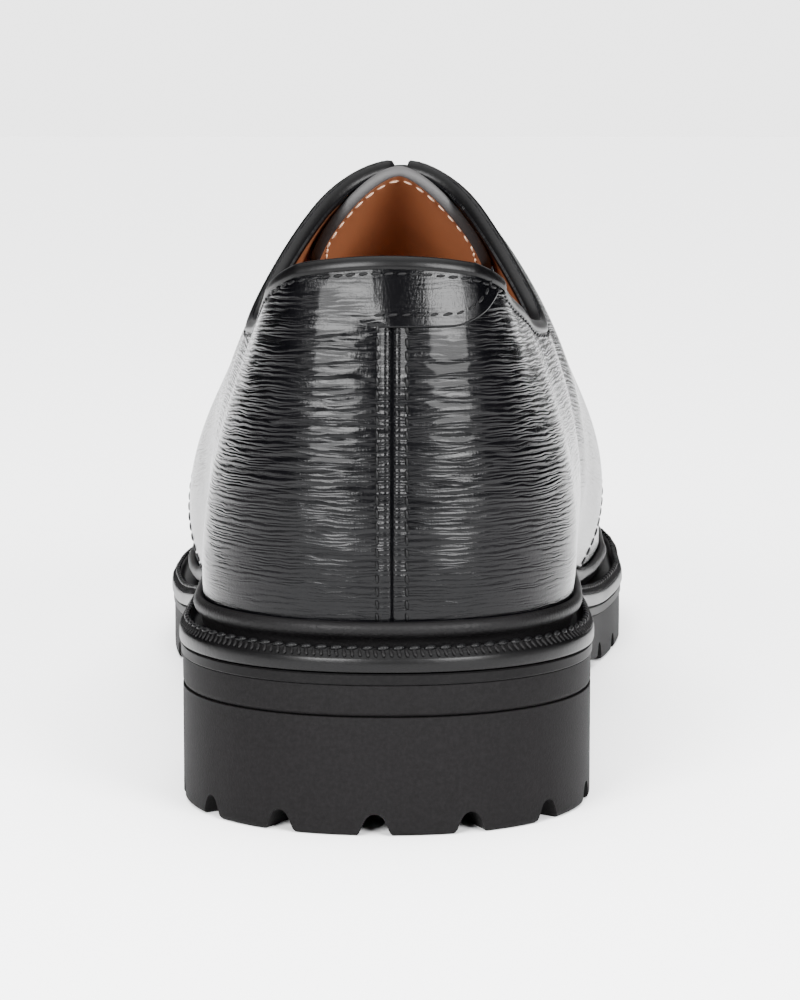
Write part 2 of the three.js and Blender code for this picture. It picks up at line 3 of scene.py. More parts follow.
import bmesh
import bpy
import numpy as np
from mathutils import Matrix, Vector


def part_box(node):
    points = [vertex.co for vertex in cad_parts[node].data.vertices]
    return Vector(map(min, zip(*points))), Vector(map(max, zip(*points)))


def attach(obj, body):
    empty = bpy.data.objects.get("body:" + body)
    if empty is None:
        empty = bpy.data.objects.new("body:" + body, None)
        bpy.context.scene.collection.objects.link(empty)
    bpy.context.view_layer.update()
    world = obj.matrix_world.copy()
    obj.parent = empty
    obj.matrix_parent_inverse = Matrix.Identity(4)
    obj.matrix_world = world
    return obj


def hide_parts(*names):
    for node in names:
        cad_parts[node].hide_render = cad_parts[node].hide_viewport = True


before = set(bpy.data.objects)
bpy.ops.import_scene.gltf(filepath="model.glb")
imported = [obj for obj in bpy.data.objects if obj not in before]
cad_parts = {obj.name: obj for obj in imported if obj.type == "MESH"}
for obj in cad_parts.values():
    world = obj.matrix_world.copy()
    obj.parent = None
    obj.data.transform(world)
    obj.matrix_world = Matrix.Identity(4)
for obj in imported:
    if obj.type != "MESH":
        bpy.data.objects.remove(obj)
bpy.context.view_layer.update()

weltLow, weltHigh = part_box("welt")

# Derby shoe, left. The form is worked out in millimetres from the heel's back, +Y to the toe and
# +X to the inner side, and goes into the frame in metres.
shoe = {
    "length": 1000 * (weltHigh.y - weltLow.y),
    "ballWidth": 106.0,
    "heelWidth": 78.0,
    "toeTurn": 5.0,
    "toeTurnStart": 0.72,
    "heelRound": 40.0,
    "heelFullness": 2.15,
    "toeRound": 68.0,
    "toeFullness": 2.05,
    "heelHeight": 21.6,
    "heelLength": 76.0,
    "shank": 5.8,
    "tread": 11.2,
    "midsole": 2.2,
    "welt": 3.0,
    "toeSpring": 8.3,
    "rubberInset": 0.6,
    "weltShow": 5.2,
    "backHeight": 71.2,
    "instepRise": 90.0,
    "crestBlend": 14.0,
}

soleSides = {
    "at": [0.0, 0.13, 0.25, 0.36, 0.46, 0.56, 0.64, 0.7, 0.78, 0.88, 1.0],
    "medial": [0.0, 0.0, -0.06, -0.08, 0.11, 0.5, 0.86, 1.0, 1.0, 0.85, 0.6],
    "lateral": [0.0, 0.0, -0.02, 0.03, 0.33, 0.72, 0.97, 1.0, 0.86, 0.54, 0.2],
}
soleProfile = {
    "at": [0.0, 0.18, 0.3, 0.42, 0.54, 0.6, 0.74, 0.82, 0.92, 1.0],
    "seat": [1.0, 1.0, 0.815, 0.417, 0.086, 0.0, 0.0, 0.0, 0.0, 0.0],
    "tread": [1.0, 1.0, 0.838, 0.495, 0.137, 0.0, 0.0, 0.0, 0.0, 0.0],
    "spring": [0.0, 0.0, 0.0, 0.0, 0.0, 0.0, 0.0, 0.125, 0.53, 1.0],
}
crest = {
    "at": [0.149, 0.248, 0.358, 0.447, 0.546, 0.646, 0.745, 0.868],
    "side": [0.0, 0.008, 0.016, 0.023, 0.028, 0.033, 0.038, 0.045],
    "up": [1.113, 1.046, 1.0, 0.89, 0.757, 0.629, 0.518, 0.392],
}
sections = {
    "at": [0.017, 0.073, 0.149, 0.235, 0.315, 0.364, 0.464, 0.546, 0.646, 0.745, 0.868, 0.983],
    "medial": [0.057, 0.08, 0.12, 0.17, 0.18, 0.225, 0.27, 0.18, 0.066, 0.038, 0.028, 0.028],
    "lateral": [0.057, 0.066, 0.07, 0.11, 0.135, 0.15, 0.195, 0.125, 0.047, 0.038, 0.028, 0.028],
    "rise": [0.6, 0.47, 0.42, 0.4, 0.38, 0.39, 0.45, 0.5, 0.58, 0.64, 0.7, 0.72],
    "crown": [0.7, 0.16, 0.06, 0.3, 0.42, 0.54, 0.5, 0.52, 0.62, 0.62, 0.62, 0.66],
}
collar = {
    "at": [0.0, 0.028, 0.04, 0.06, 0.093, 0.139, 0.182, 0.218, 0.248, 0.291, 0.325, 0.358, 0.374],
    "up": [1.003, 0.995, 0.978, 0.94, 0.888, 0.83, 0.78, 0.768, 0.81, 0.949, 1.096, 1.258, 1.36],
}
quarterFront = {  # place along the shoe, for each height as a share of the instep's rise
    "at": [-0.2, 0.06, 0.24, 0.43, 0.62, 0.78, 1.1],
    "y": [0.481, 0.487, 0.503, 0.53, 0.556, 0.573, 0.576],
}


def readCurve(table, column, at):
    x, v = np.array(table["at"]), np.array(table[column])
    step = np.diff(v) / np.diff(x)
    slope = np.empty_like(v)
    slope[0], slope[-1] = step[0], step[-1]
    slope[1:-1] = np.where(step[:-1] * step[1:] <= 0, 0, (v[2:] - v[:-2]) / (x[2:] - x[:-2]))
    at = np.clip(at, x[0], x[-1])
    i = np.clip(np.searchsorted(x, at) - 1, 0, len(x) - 2)
    h = x[i + 1] - x[i]
    t = (at - x[i]) / h
    return (
        (2 * t**3 - 3 * t**2 + 1) * v[i]
        + (t**3 - 2 * t**2 + t) * h * slope[i]
        + (3 * t**2 - 2 * t**3) * v[i + 1]
        + (t**3 - t**2) * h * slope[i + 1]
    )


def along(table, column, y):
    return readCurve(table, column, y / shoe["length"])


def springAt(y):
    return shoe["toeSpring"] * along(soleProfile, "spring", y)


def treadAt(y):
    return shoe["heelHeight"] * along(soleProfile, "tread", y) + springAt(y)


def outsoleTop(y):
    drop = shoe["heelHeight"] + shoe["shank"] - shoe["tread"]
    return shoe["tread"] + drop * along(soleProfile, "seat", y) + springAt(y)


def midsoleTop(y):
    return outsoleTop(y) + shoe["midsole"]


def weltTop(y):
    return midsoleTop(y) + shoe["welt"]


def collarAt(y):
    return weltTop(y) + shoe["backHeight"] * along(collar, "up", y)


def vectors(*parts):
    return np.stack(np.broadcast_arrays(*parts), axis=-1)


def unit(v):
    return v / np.maximum(np.linalg.norm(v, axis=-1, keepdims=True), 1e-9)


def softStep(low, high, x):
    t = np.clip((x - low) / (high - low), 0, 1)
    return t * t * (3 - 2 * t)


# Outline of the sole: a turn goes from the heel's back round the inner side, the toe and the outer side
def roundOff(share, power):
    return (1 - (1 - np.clip(share, 0, 1)) ** power) ** (1 / power)


def middleLine(y):
    start = shoe["toeTurnStart"] * shoe["length"]
    return shoe["toeTurn"] * (np.maximum(y - start, 0) / (shoe["length"] - start)) ** 2


def halfWidth(column, y):
    flare = (shoe["ballWidth"] - shoe["heelWidth"]) / 2
    width = shoe["heelWidth"] / 2 + flare * along(soleSides, column, y)
    heelEnd = roundOff(y / shoe["heelRound"], shoe["heelFullness"])
    return width * heelEnd * roundOff((shoe["length"] - y) / shoe["toeRound"], shoe["toeFullness"])


def lengthAt(turn):
    return shoe["length"] * (1 - np.cos(2 * math.pi * turn)) / 2


def turnAt(y):
    return np.arccos(1 - 2 * y / shoe["length"]) / (2 * math.pi)


def edgePoint(turn):
    y = lengthAt(turn)
    medial = turn % 1 <= 0.5
    return vectors(middleLine(y) + np.where(medial, halfWidth("medial", y), -halfWidth("lateral", y)), y)


def edgeNormal(turn):
    step = 0.002
    tangent = unit(edgePoint((turn + step) % 1) - edgePoint((turn - step) % 1))
    return vectors(tangent[..., 1], -tangent[..., 0])


def insetPoint(turn, inset):
    return edgePoint(turn) - edgeNormal(turn) * np.expand_dims(inset, -1)


# The last: a section runs from the welt (rise 0) up to the crest (rise 1)
def crestPoint(at):
    side = shoe["ballWidth"] * along(crest, "side", at)
    return vectors(side, at, weltTop(at) + shoe["instepRise"] * along(crest, "up", at))


def crestAt(y):
    first, end = crest["at"][0] * shoe["length"], crest["at"][-1] * shoe["length"]
    blend = shoe["crestBlend"]
    return first + blend * np.logaddexp(0, (y - first) / blend) - blend * np.logaddexp(0, (y - end) / blend)


def lastPoint(turn, rise):
    turn = turn % 1
    y = lengthAt(turn)
    at = crestAt(y)
    top = crestPoint(at)
    slope = (crestPoint(at + 1)[..., 2] - crestPoint(at - 1)[..., 2]) / 2
    foot = insetPoint(turn, shoe["weltShow"])
    start = vectors(foot[..., 0], foot[..., 1], weltTop(foot[..., 1]))
    height = top[..., 2] - start[..., 2]
    out = edgeNormal(turn)
    inner = 0.5 + 0.5 * np.clip(out[..., 0] / 0.6, -1, 1)
    medial, lateral = along(sections, "medial", y), along(sections, "lateral", y)
    bulge = shoe["ballWidth"] * (inner * medial + (1 - inner) * lateral)
    flank = start + vectors(out[..., 0] * bulge, out[..., 1] * bulge, height * along(sections, "rise", y))
    crown = along(sections, "crown", y)
    reachX, reachY = (foot[..., 0] - top[..., 0]) * crown, (foot[..., 1] - top[..., 1]) * crown
    shoulder = top + vectors(reachX, reachY, slope * reachY)
    t = np.expand_dims(rise, -1)
    return (1 - t) ** 3 * start + 3 * (1 - t) ** 2 * t * flank + 3 * (1 - t) * t**2 * shoulder + t**3 * top


def lastNormal(turn, rise):
    step = 0.002
    turned = lastPoint(turn + step, rise) - lastPoint(turn - step, rise)
    raised = lastPoint(turn, rise + step) - lastPoint(turn, np.maximum(rise - step, 0))
    at = crestAt(lengthAt(turn % 1))
    slope = crestPoint(at + 1)[..., 2] - crestPoint(at - 1)[..., 2]
    onCrest = unit(vectors(0 * slope, -slope, 0 * slope + 2))
    return np.where(np.expand_dims(rise, -1) > 0.999, onCrest, unit(np.cross(turned, raised)))


# A walk is the distance round the upper's foot from the heel's back, + on the inner side. Near the
# heel its lines stand upright, as the back seam does.
heelLines = {"spread": 26.0, "fine": 4001}
fineTurns = np.linspace(-0.5, 0.5, heelLines["fine"])
footLine = insetPoint(fineTurns % 1, shoe["weltShow"])
walked = np.concatenate([[0], np.cumsum(np.linalg.norm(np.diff(footLine, axis=0), axis=1))])
walked -= np.interp(0, fineTurns, walked)
riseSteps = np.linspace(0, 0.995, 60)
narrowing = lastPoint(np.full(60, np.interp(1.0, walked, fineTurns)), riseSteps)[:, 0]


def turnOf(walk, rise):
    widen = 1 + (1 / np.interp(rise, riseSteps, narrowing) - 1) * np.exp(-((walk / heelLines["spread"]) ** 2))
    return np.interp(walk * widen, walked, fineTurns)


def onUpper(walk, rise, offset=0.0):
    turn = turnOf(walk, rise)
    point = lastPoint(turn, rise)
    if np.ndim(offset) == 0 and offset == 0:
        return point
    return point + lastNormal(turn, rise) * np.expand_dims(offset, -1)


def upperNormal(walk, rise):
    return lastNormal(turnOf(walk, rise), rise)


def solve(beyond, low, high, count=34):
    for _ in range(count):
        middle = (low + high) / 2
        past = beyond(middle) > 0
        low, high = np.where(past, low, middle), np.where(past, middle, high)
    return (low + high) / 2


def nearest(goal, walk, rise):
    # Walk and rise of the upper's place nearest to each goal, from a first guess
    for _ in range(6):
        here = onUpper(walk, rise)
        acrossStep = (onUpper(walk + 0.05, rise) - here) / 0.05
        upStep = (onUpper(walk, rise + 0.0005) - here) / 0.0005
        miss = goal - here
        a, b, c = (acrossStep**2).sum(-1), (acrossStep * upStep).sum(-1), (upStep**2).sum(-1)
        d, e = (acrossStep * miss).sum(-1), (upStep * miss).sum(-1)
        det = np.maximum(a * c - b * b, 1e-9)
        walk = walk + (c * d - b * e) / det
        rise = np.clip(rise + (a * e - b * d) / det, 0.0, 0.997)
    return walk, rise


# Meshes and materials
def toFrame(points):
    return (np.asarray(points, float) + [0, 1000 * weltLow.y, 0]) / 1000


def smoothMesh(name, points, faces, angle=40.0):
    mesh = bpy.data.meshes.new(name)
    mesh.from_pydata([tuple(p) for p in toFrame(points)], [], faces)
    mesh.validate()
    smoothShading(mesh, angle)
    return addPiece(name, mesh)


def smoothShading(mesh, angle):
    mesh.polygons.foreach_set("use_smooth", [True] * len(mesh.polygons))
    mesh.set_sharp_from_angle(angle=math.radians(angle))


def addPiece(name, data):
    piece = bpy.data.objects.new(name, data)
    bpy.context.collection.objects.link(piece)
    return piece


# What a piece looks like once its modifier has run, without the modifier
def settled(piece, modifier):
    made = bpy.data.meshes.new_from_object(piece.evaluated_get(bpy.context.evaluated_depsgraph_get()))
    piece.modifiers.remove(modifier)
    return made


def gridFaces(rows, columns, closed=False, flip=False, looped=False):
    last = columns if closed else columns - 1
    j, i = np.meshgrid(np.arange(rows if looped else rows - 1), np.arange(last), indexing="ij")
    a, b = j * columns + i, j * columns + (i + 1) % columns
    quads = np.stack([a, b, b + columns, a + columns], axis=-1).reshape(-1, 4) % (rows * columns)
    return (quads[:, ::-1] if flip else quads).tolist()


def writeMap(piece, places):
    # UV map of the surface's own lengths, from one place for each vertex
    mesh = piece.data
    corners = np.empty(len(mesh.loops), int)
    mesh.loops.foreach_get("vertex_index", corners)
    layer = mesh.uv_layers.new(name="surface")
    layer.data.foreach_set("uv", (np.asarray(places, float)[corners] / 1000).ravel())


def sheetPiece(name, points, places=None, flip=False, angle=40.0):
    rows, columns = points.shape[:2]
    piece = smoothMesh(name, points.reshape(-1, 3), gridFaces(rows, columns, flip=flip), angle)
    if places is not None:
        writeMap(piece, places.reshape(-1, 2))
    return piece


def finishPiece(piece, material, slot, *nodes):
    piece.data.materials.clear()
    piece.data.materials.append(material)
    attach(piece, "root")
    if nodes:
        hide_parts(*nodes)
    return piece


def joinPieces(pieces, name):
    for other in bpy.context.selected_objects:
        other.select_set(False)
    for piece in pieces:
        piece.select_set(True)
    bpy.context.view_layer.objects.active = pieces[0]
    bpy.ops.object.join()
    pieces[0].name = name
    pieces[0].data.name = name
    return pieces[0]


# Nodes: an input takes a value, or another node's output
def feed(tree, node, inputs):
    for key, value in dict(inputs).items():
        if isinstance(value, bpy.types.NodeSocket):
            tree.links.new(value, node.inputs[key])
        else:
            node.inputs[key].default_value = value


def add(tree, kind, inputs=(), **settings):
    node = tree.nodes.new(kind)
    for name, value in settings.items():
        setattr(node, name, value)
    feed(tree, node, inputs)
    return node


def addInputs(group, *labels):
    for label, kind, value in labels:
        socket = group.interface.new_socket(label, in_out="INPUT", socket_type="NodeSocket" + kind)
        if value is not None:
            socket.default_value = value


# A shader group that puts out a height and a tone
def grainGroup(name, sizes):
    group = bpy.data.node_groups.new(name, "ShaderNodeTree")
    addInputs(group, ("Vector", "Vector", None), *((label, "Float", value) for label, value in sizes.items()))
    for label in ("Height", "Tone"):
        group.interface.new_socket(label, in_out="OUTPUT", socket_type="NodeSocketFloat")
    return group, add(group, "NodeGroupInput").outputs, add(group, "NodeGroupOutput")


def poreCells(group, given, **settings):
    scaled = {0: given["Vector"], "Scale": given["Fine"]}
    finer = add(group, "ShaderNodeVectorMath", scaled, operation="SCALE")
    cells = add(group, "ShaderNodeTexVoronoi", {"Vector": finer.outputs[0], "Scale": 1.0}, **settings)
    return cells.outputs["Distance"]


def leatherGrainGroup():
    group, given, result = grainGroup("leatherGrain", {"Across": 700.0, "Up": 1500.0, "Fine": 5200.0})
    poreShare, cloudScale = -0.35, 60.0
    scale = add(group, "ShaderNodeCombineXYZ", {0: given["Across"], 1: given["Up"], 2: given["Up"]})
    sizes = {0: given["Vector"], 1: scale.outputs[0]}
    stretched = add(group, "ShaderNodeVectorMath", sizes, operation="MULTIPLY")
    folds = add(group, "ShaderNodeTexNoise", {"Vector": stretched.outputs[0], "Scale": 1.0, "Detail": 3.0})
    pores = poreCells(group, given, feature="SMOOTH_F1")
    parts = {0: pores, 1: poreShare, 2: folds.outputs[0]}
    both = add(group, "ShaderNodeMath", parts, operation="MULTIPLY_ADD")
    cloud = add(group, "ShaderNodeTexNoise", {"Vector": given["Vector"], "Scale": cloudScale})
    feed(group, result, {"Height": both.outputs[0], "Tone": cloud.outputs[0]})
    return group


# Long grain: two families of wavy creases that cross, so that narrow pebbles stay between them
longGrainShape = {
    "families": [((0, 0, 0), (75, 190, 1), 1.0), ((5, 3, 8), (110, 240, 1), 1.27)],  # offset, scale, pitches
    "sharpness": 0.9,
    "patches": (-0.14, 0.1, 0.25),       # noise from and to, least depth
    "calmFoot": (0.004, 0.026, 0.3),     # height from and to, least depth
    "threadShare": 0.22,
    "poreShare": -0.12,
}


def longGrainGroup():
    sizes = {"Pitch": 0.002, "Wander": 0.003, "Fine": 4200.0, "Plain": 0.0}
    group, given, result = grainGroup("longGrain", sizes)
    shape = longGrainShape

    def compute(operation, a, b=None):
        values = {0: a} if b is None else {0: a, 1: b}
        return add(group, "ShaderNodeMath", values, operation=operation).outputs[0]

    def noise(scale, offset, detail):
        sizes = {0: given["Vector"], 1: scale, 2: offset}
        place = add(group, "ShaderNodeVectorMath", sizes, operation="MULTIPLY_ADD").outputs[0]
        node = add(group, "ShaderNodeTexNoise", {"Vector": place, "Scale": 1.0, "Detail": detail})
        return compute("SUBTRACT", node.outputs[0], 0.5)

    def between(value, span):
        ends = dict(zip(("From Min", "From Max", "To Min"), span))
        return add(group, "ShaderNodeMapRange", {"Value": value, **ends}).outputs[0]

    height = add(group, "ShaderNodeSeparateXYZ", {0: given["Vector"]}).outputs["Y"]
    turns = compute("DIVIDE", math.pi, given["Pitch"])
    families = []
    for offset, scale, share in shape["families"]:
        drift = compute("MULTIPLY", noise(scale, offset, 2.0), given["Wander"])
        phase = compute("MULTIPLY", compute("ADD", height, drift), compute("MULTIPLY", turns, share))
        families.append(compute("POWER", compute("ABSOLUTE", compute("SINE", phase)), shape["sharpness"]))
    depth = between(noise((120, 420, 1), (2, 9, 4), 1.0), shape["patches"])
    calm = between(height, shape["calmFoot"])
    folds = compute("MULTIPLY", compute("MINIMUM", *families), compute("MULTIPLY", depth, calm))
    folds = compute("MULTIPLY", folds, compute("SUBTRACT", 1.0, given["Plain"]))
    threads = compute("MULTIPLY", noise((2600, 700, 1), (0, 0, 3), 1.0), shape["threadShare"])
    pores = compute("MULTIPLY", poreCells(group, given), shape["poreShare"])
    tone = compute("ADD", noise((60, 60, 60), (1, 1, 1), 2.0), 0.5)
    feed(group, result, {"Height": compute("ADD", compute("ADD", folds, threads), pores), "Tone": tone})
    return group


leatherGrain = leatherGrainGroup()
longGrain = longGrainGroup()


def startMaterial(name, look):
    material = bpy.data.materials.new(name)
    material.use_nodes = True
    tree = material.node_tree
    shader = tree.nodes["Principled BSDF"]
    feed(tree, shader, {
        "Base Color": (*look["color"], 1),
        "Roughness": look["roughness"],
        "Coat Weight": look.get("coat", 0.0),
        "Coat Roughness": look.get("coatRoughness", 0.2),
        "Specular IOR Level": look.get("specular", 0.5),
    })
    return material, tree, shader


def addBump(tree, shader, height, look):
    sizes = {"Strength": look["strength"], "Distance": look["depth"] / 1000, "Height": height}
    feed(tree, shader, {"Normal": add(tree, "ShaderNodeBump", sizes).outputs[0]})


def leather(name, look):
    material, tree, shader = startMaterial(name, look)
    place = add(tree, "ShaderNodeTexCoord").outputs["UV" if look.get("mapped", True) else "Object"]
    grain = add(tree, "ShaderNodeGroup", node_tree=longGrain if "Pitch" in look else leatherGrain)
    feed(tree, grain, {label: look[label] for label in grain.inputs.keys() if label in look})
    feed(tree, grain, {"Vector": place})
    if "Pitch" in look:
        plain = add(tree, "ShaderNodeAttribute", attribute_name="plainGrain")
        feed(tree, grain, {"Plain": plain.outputs["Fac"]})
    addBump(tree, shader, grain.outputs["Height"], look)
    tone = grain.outputs["Tone"]
    low, high = look["roughness"] - look["spread"], look["roughness"] + look["spread"]
    gloss = add(tree, "ShaderNodeMapRange", {"Value": tone, "To Min": low, "To Max": high})
    shades = {"Factor": tone, "A": (*look["color"], 1), "B": (*look["worn"], 1)}
    tint = add(tree, "ShaderNodeMix", shades, data_type="RGBA")
    feed(tree, shader, {"Roughness": gloss.outputs[0], "Base Color": tint.outputs["Result"]})
    return material


def moulded(name, look):
    material, tree, shader = startMaterial(name, look)
    place = add(tree, "ShaderNodeTexCoord").outputs["Object"]
    grain = add(tree, "ShaderNodeTexNoise", {"Vector": place, "Scale": look["grain"], "Detail": 4.0})
    addBump(tree, shader, grain.outputs[0], look)
    fleck = add(tree, "ShaderNodeTexNoise", {"Vector": place, "Scale": look["fleck"]})
    tint = add(tree, "ShaderNodeValToRGB", {0: fleck.outputs[0]})
    for stop, at, color in zip(tint.color_ramp.elements, look["fleckSpan"], (look["color"], look["pale"])):
        stop.position = at
        stop.color = (*color, 1)
    feed(tree, shader, {"Base Color": tint.outputs[0]})
    return material


def twisted(name, look):
    material, tree, shader = startMaterial(name, look)
    place = add(tree, "ShaderNodeTexCoord").outputs["Object"]
    twist = add(tree, "ShaderNodeTexWave", {"Vector": place, "Scale": look["twist"]})
    addBump(tree, shader, twist.outputs[0], look)
    return material


looks = {
    "blackLeather": {
        "color": (0.0006, 0.0006, 0.0008), "worn": (0.0011, 0.0011, 0.0014), "roughness": 0.21,
        "spread": 0.05, "coat": 0.07, "coatRoughness": 0.08, "specular": 0.09, "strength": 1.0, "depth": 0.13,
        "Pitch": 0.0012, "Wander": 0.0024, "Fine": 4200.0,
    },
    "edgeLeather": {
        "color": (0.0007, 0.0007, 0.0008), "worn": (0.0014, 0.0013, 0.0014), "roughness": 0.38,
        "spread": 0.06, "coat": 0.05, "coatRoughness": 0.2, "specular": 0.1, "strength": 0.35, "depth": 0.1,
        "Across": 900.0, "Up": 900.0, "Fine": 2600.0, "mapped": False,
    },
    # Tan of the linings, footbed and tongue's underside: the leather's own tan hue, darkened as painted shade
    # for the dim inside of the shoe
    "tanLeather": {
        "color": (0.2, 0.066, 0.026), "worn": (0.26, 0.095, 0.04), "roughness": 0.5, "spread": 0.07,
        "strength": 0.25, "depth": 0.08, "Across": 900.0, "Up": 900.0, "Fine": 3800.0, "mapped": False,
    },
    "cutEdge": {
        "color": (0.014, 0.0136, 0.014), "worn": (0.022, 0.021, 0.0215), "roughness": 0.6, "spread": 0.05,
        "strength": 0.4, "depth": 0.1, "Across": 1800.0, "Up": 1800.0, "Fine": 4000.0, "mapped": False,
    },
    "ribLeather": {
        "color": (0.0012, 0.0011, 0.0012), "worn": (0.003, 0.0028, 0.003), "roughness": 0.5, "spread": 0.08,
        "specular": 0.1, "strength": 0.7, "depth": 0.15,
        "Across": 1500.0, "Up": 1500.0, "Fine": 3400.0, "mapped": False,
    },
    "rubber": {
        "color": (0.0022, 0.002, 0.0021), "pale": (0.0038, 0.0035, 0.0037), "roughness": 0.66,
        "specular": 0.06, "grain": 2400.0, "fleck": 1500.0, "fleckSpan": (0.35, 0.75),
        "strength": 0.5, "depth": 0.12,
    },
    "midsoleRubber": {
        "color": (0.0014, 0.0013, 0.0014), "pale": (0.0026, 0.0024, 0.0025), "roughness": 0.5,
        "specular": 0.06, "grain": 2400.0, "fleck": 1500.0, "fleckSpan": (0.35, 0.75),
        "strength": 0.3, "depth": 0.08,
    },
    "blackThread": {"color": (0.0012, 0.0012, 0.0014), "roughness": 0.4},
    "paleThread": {"color": (0.62, 0.42, 0.3), "roughness": 0.6},
    "waxedCord": {"color": (0.0015, 0.0015, 0.0015), "roughness": 0.5},
}
for cord in ("blackThread", "paleThread", "waxedCord"):
    looks[cord].update({"specular": 0.12, "twist": 900.0, "strength": 0.4, "depth": 0.05})


def madeLike(make, *names):
    return [make(name, looks[name]) for name in names]


blackLeather, edgeLeather, tanLeather, cutEdge, ribLeather = madeLike(
    leather, "blackLeather", "edgeLeather", "tanLeather", "cutEdge", "ribLeather"
)
rubber, midsoleRubber = madeLike(moulded, "rubber", "midsoleRubber")
blackThread, paleThread, waxedCord = madeLike(twisted, "blackThread", "paleThread", "waxedCord")
print("stage: materials")


# Rows of stitches. The tree sets one stitch for each pitch along a path, whose points carry the
# surface's normal as the attribute lay.
def stitchTree():
    group = bpy.data.node_groups.new("stitchRow", "GeometryNodeTree")
    addInputs(
        group, ("Geometry", "Geometry", None), ("Pitch", "Float", 0.003), ("Length", "Float", 0.0022),
        ("Width", "Float", 0.0008), ("Height", "Float", 0.0006), ("Slant", "Float", 0.1), ("Seed", "Int", 3),
        ("Thread", "Material", None),
    )
    group.interface.new_socket("Geometry", in_out="OUTPUT", socket_type="NodeSocketGeometry")
    given = add(group, "NodeGroupInput").outputs
    path = add(group, "GeometryNodeMeshToCurve", {"Mesh": given["Geometry"]})
    steps = {"Curve": path.outputs[0], "Length": given["Pitch"]}
    even = add(group, "GeometryNodeResampleCurve", steps, mode="LENGTH")
    lay = add(group, "GeometryNodeInputNamedAttribute", {"Name": "lay"}, data_type="FLOAT_VECTOR")
    axes = {0: lay.outputs["Attribute"], 1: add(group, "GeometryNodeInputTangent").outputs[0]}
    facing = add(group, "FunctionNodeAxesToRotation", axes, primary_axis="Z", secondary_axis="X")
    slant = add(group, "FunctionNodeAxisAngleToRotation", {"Axis": (0, 0, 1), "Angle": given["Slant"]})
    turns = {0: facing.outputs[0], 1: slant.outputs[0]}
    turned = add(group, "FunctionNodeRotateRotation", turns, rotation_space="LOCAL")
    stitch = add(group, "GeometryNodeMeshUVSphere", {"Segments": 8, "Rings": 5, "Radius": 0.5})
    size = add(group, "ShaderNodeCombineXYZ", {0: given["Length"], 1: given["Width"], 2: given["Height"]})
    shaped = add(group, "GeometryNodeTransform", {"Geometry": stitch.outputs[0], "Scale": size.outputs[0]})
    varied = add(group, "FunctionNodeRandomValue", {"Seed": given["Seed"]}, data_type="FLOAT")
    least, most = [x for x in varied.inputs if x.type == "VALUE"][:2]
    least.default_value, most.default_value = 0.9, 1.08
    placed = add(group, "GeometryNodeInstanceOnPoints", {
        "Points": even.outputs[0],
        "Instance": shaped.outputs[0],
        "Rotation": turned.outputs[0],
        "Scale": next(x for x in varied.outputs if x.type == "VALUE"),
    })
    real = add(group, "GeometryNodeRealizeInstances", {0: placed.outputs[0]})
    smooth = add(group, "GeometryNodeSetShadeSmooth", {0: real.outputs[0]})
    colored = add(group, "GeometryNodeSetMaterial", {0: smooth.outputs[0], "Material": given["Thread"]})
    add(group, "NodeGroupOutput", {0: colored.outputs[0]})
    return group


stitchRowTree = stitchTree()


# One piece of stitches along some paths, each a pair of points and normals
def stitchPiece(name, paths, look, thread):
    points = np.concatenate([p for p, n in paths])
    mesh = bpy.data.meshes.new(name)
    chain, first = [], 0
    for p, n in paths:
        chain += [(first + k, first + k + 1) for k in range(len(p) - 1)]
        first += len(p)
    mesh.from_pydata([tuple(p) for p in toFrame(points)], chain, [])
    lay = mesh.attributes.new("lay", "FLOAT_VECTOR", "POINT")
    lay.data.foreach_set("vector", np.concatenate([n for p, n in paths]).ravel())
    path = addPiece(name, mesh)
    rows = path.modifiers.new("stitches", "NODES")
    rows.node_group = stitchRowTree
    sockets = {x.name: x.identifier for x in stitchRowTree.interface.items_tree if x.in_out == "INPUT"}
    for label in ("Pitch", "Length", "Width", "Height"):
        rows[sockets[label]] = look[label] / 1000
    rows[sockets["Slant"]] = look["Slant"]
    rows[sockets["Thread"]] = thread
    made = settled(path, rows)
    bpy.data.objects.remove(path)
    made.name = name
    piece = addPiece(name, made)
    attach(piece, "root")


seamStitch = {"Pitch": 2.3, "Length": 1.9, "Width": 0.62, "Height": 0.5, "Slant": 0.12}


# Relief of the grain: long wavy wrinkles that run along the shoe, and the main creases, listed one by one
def softNoise(u, v, seed):
    table = np.random.default_rng(seed).random((64, 64))
    iu, iv = np.floor(u).astype(int), np.floor(v).astype(int)
    fu, fv = u - iu, v - iv
    fu, fv = fu * fu * (3 - 2 * fu), fv * fv * (3 - 2 * fv)
    a, b = table[iu % 64, iv % 64], table[(iu + 1) % 64, iv % 64]
    c, d = table[iu % 64, (iv + 1) % 64], table[(iu + 1) % 64, (iv + 1) % 64]
    return (a * (1 - fu) + b * fu) * (1 - fv) + (c * (1 - fu) + d * fu) * fv


wrinkleSizes = {
    "pitch": 2.1, "finerPitch": 1.302, "depth": 0.018, "finerDepth": 0.35, "wander": 3.4, "finerWander": 0.42,
    "turn": 9, "patch": (0.25, 0.7), "seed": 7,
    "cells": [(24, 10), (8, 4), (13, 6), (9, 2.1)],  # noise of the wander, finer wander, turn and patches
}


def wrinkles(u, v):
    sizes = wrinkleSizes
    cells = enumerate(sizes["cells"])
    wander, finerWander, turn, patch = (softNoise(u / a, v / b, sizes["seed"] + k) for k, (a, b) in cells)
    drift = sizes["wander"] * (wander - 0.5)
    drift = drift + sizes["finerWander"] * sizes["wander"] * (finerWander - 0.5)
    wave = 0.5 + 0.5 * np.cos(2 * math.pi * (v + drift) / sizes["pitch"])
    turned = sizes["turn"] * turn
    finer = 0.5 + 0.5 * np.cos(2 * math.pi * (v + 0.7 * drift) / sizes["finerPitch"] + turned)
    share = softStep(*sizes["patch"], patch)
    long = (wave**1.5 - 0.4) * (0.3 + 0.9 * share)
    return sizes["depth"] * (long + sizes["finerDepth"] * (finer - 0.5) * (1.2 - share))


